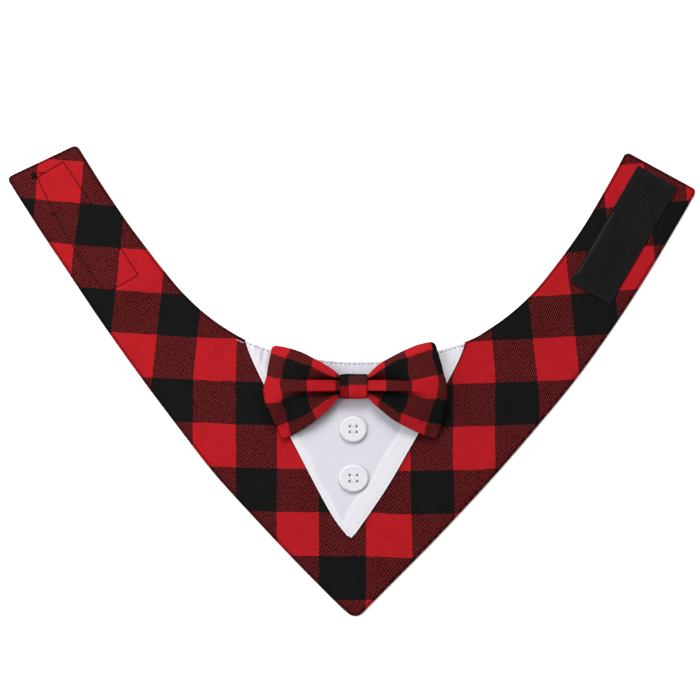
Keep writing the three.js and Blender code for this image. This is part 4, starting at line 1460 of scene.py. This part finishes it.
def make_bow_knot():
    """The band round the middle of the bow: squarish in section, with its side edges turned in."""
    turn = np.linspace(0, 2 * math.pi, 160, endpoint=False)
    middle_z, half_z = (KNOT["bottom"] + KNOT["top"]) / 2, (KNOT["top"] - KNOT["bottom"]) / 2
    left = [(-x, depth) for x, depth in KNOT_SECTION[-2:0:-1]]
    back = [(way * KNOT_SECTION[-1][0], 1.0) for way in (1, -1)] + left[:1]
    section = smooth_line(left + KNOT_SECTION[:-1] + back, 6)[:-1]
    points, uvs_at, shades, in_lower_left = [], [], [], []
    for t in turn:
        c, s = math.cos(t), math.sin(t)
        c_square, s_square = (math.copysign(abs(value) ** power, value)
                              for value, power in zip((c, s), KNOT_SQUARE))
        for across, depth in section:
            inset = depth * KNOT["cloth"]
            folds = math.sin(across * 5.2 + 3 * t) * (1 - depth)
            sag = KNOT_SAG["sides"] * across ** 2 + KNOT_SAG["folds"] * folds
            y = c_square * (KNOT["half_height"] - inset - sag)
            z = middle_z + s_square * (half_z - inset - sag)
            x = across * KNOT["half_width"] * (1 + KNOT_SAG["width"] * math.sin(2 * t + 0.6))
            points.append((BOW["x"] + x, BOW["y"] + y, z))
            squares = x - KNOT_CHECK["column"], c_square * KNOT["half_height"] - KNOT_CHECK["row"]
            uvs_at.append((squares[0] / BOW_CHECK + 1, squares[1] / BOW_CHECK))
            from_top = KNOT["half_height"] - sag - y
            # painted shade along the knot's upper edge
            brow = KNOT_BROW["dark"] * (1 - between(KNOT_BROW["span"], from_top))
            # painted shade on the knot's lower left square, which is drawn as a red square
            in_lower_left.append(max(squares) < 0)
            shades.append(KNOT_LOWER_LEFT_SHADE if in_lower_left[-1] else brow)
    n, m = len(turn), len(section)
    faces, uvs = [], []
    for corners in grid(n, m):
        faces.append([i % n * m + j % m for i, j in corners])
        shift = all(in_lower_left[p] for p in faces[-1])
        uvs += [(uvs_at[p][0] + shift, uvs_at[p][1]) for p in faces[-1]]
    knot = make_object("bow_knot_flannel", points, faces, uvs, KNOT_FLANNEL)
    from_side = KNOT["half_width"] - np.abs(plan_points(knot)[:, 0] - BOW["x"])
    set_hem(knot, np.maximum(from_side, 0), np.array(shades))
    return finish_piece(knot, "check_flannel", "bow_knot")


# ---------------------------------------------------------------- table, lights and camera
TABLE_HALF = 4.0
ROOM_LIGHT = 0.36
LIGHTS = [{"name": "Window", "place": (-0.6, 0.1, 0.7), "size": 0.9, "power": 6.0},
          {"name": "Lamp", "place": (0.0, 2.2, 2.0), "size": 1.6, "power": 75.5}]
CAMERA = {"place": (-0.0015, 0.01905, 1.752), "lens": 150.0, "sensor": 36.0}


def make_stage():
    graph, _ = new_material("Pale table", Roughness=0.9, Specular_IOR_Level=0,
                            Emission_Strength=0.35)
    place = graph.add("ShaderNodeTexCoord").outputs["Object"]
    graph.dress(Base_Color=graph.colour(graph.noise(place, 3.0, 1), *PALE_TABLE))
    mesh = bpy.data.meshes.new("table_top")
    corners = [(-1, -1), (1, -1), (1, 1), (-1, 1)]
    mesh.from_pydata([(x * TABLE_HALF, y * TABLE_HALF, 0) for x, y in corners], [], [range(4)])
    mesh.materials.append(graph.material)
    add_object("table_top", mesh)


def make_lights():
    scene = bpy.context.scene
    scene.world = bpy.data.worlds.new("Soft room")
    scene.world.use_nodes = True
    background = scene.world.node_tree.nodes["Background"]
    background.inputs["Color"].default_value = (1, 1, 1, 1)
    background.inputs["Strength"].default_value = ROOM_LIGHT
    for row in LIGHTS:
        lamp = bpy.data.lights.new(row["name"], "AREA")
        lamp.shape, lamp.size, lamp.energy = "DISK", row["size"], row["power"]
        light = add_object(row["name"], lamp)
        light.location = row["place"]
        toward = Vector((0, 0, 0)) - light.location
        light.rotation_euler = toward.to_track_quat("-Z", "Y").to_euler()


def make_camera():
    lens = bpy.data.cameras.new("Camera")
    lens.lens, lens.sensor_width = CAMERA["lens"], CAMERA["sensor"]
    camera = add_object("Camera", lens)
    camera.location = CAMERA["place"]
    bpy.context.scene.camera = camera


# ---------------------------------------------------------------- put together
body = make_body()
sew_body_edge()
sew_patch()
shirt = make_shirt()
sew_shirt()
make_hook_tape()
make_hooks()
make_loop_tape()
for place in BUTTONS:
    make_button(place)
    sew_button(place)
bow_loop = make_bow_loop()
bow_knot = make_bow_knot()
make_stage()
make_lights()
make_camera()
bpy.context.scene.view_settings.view_transform = "Standard"
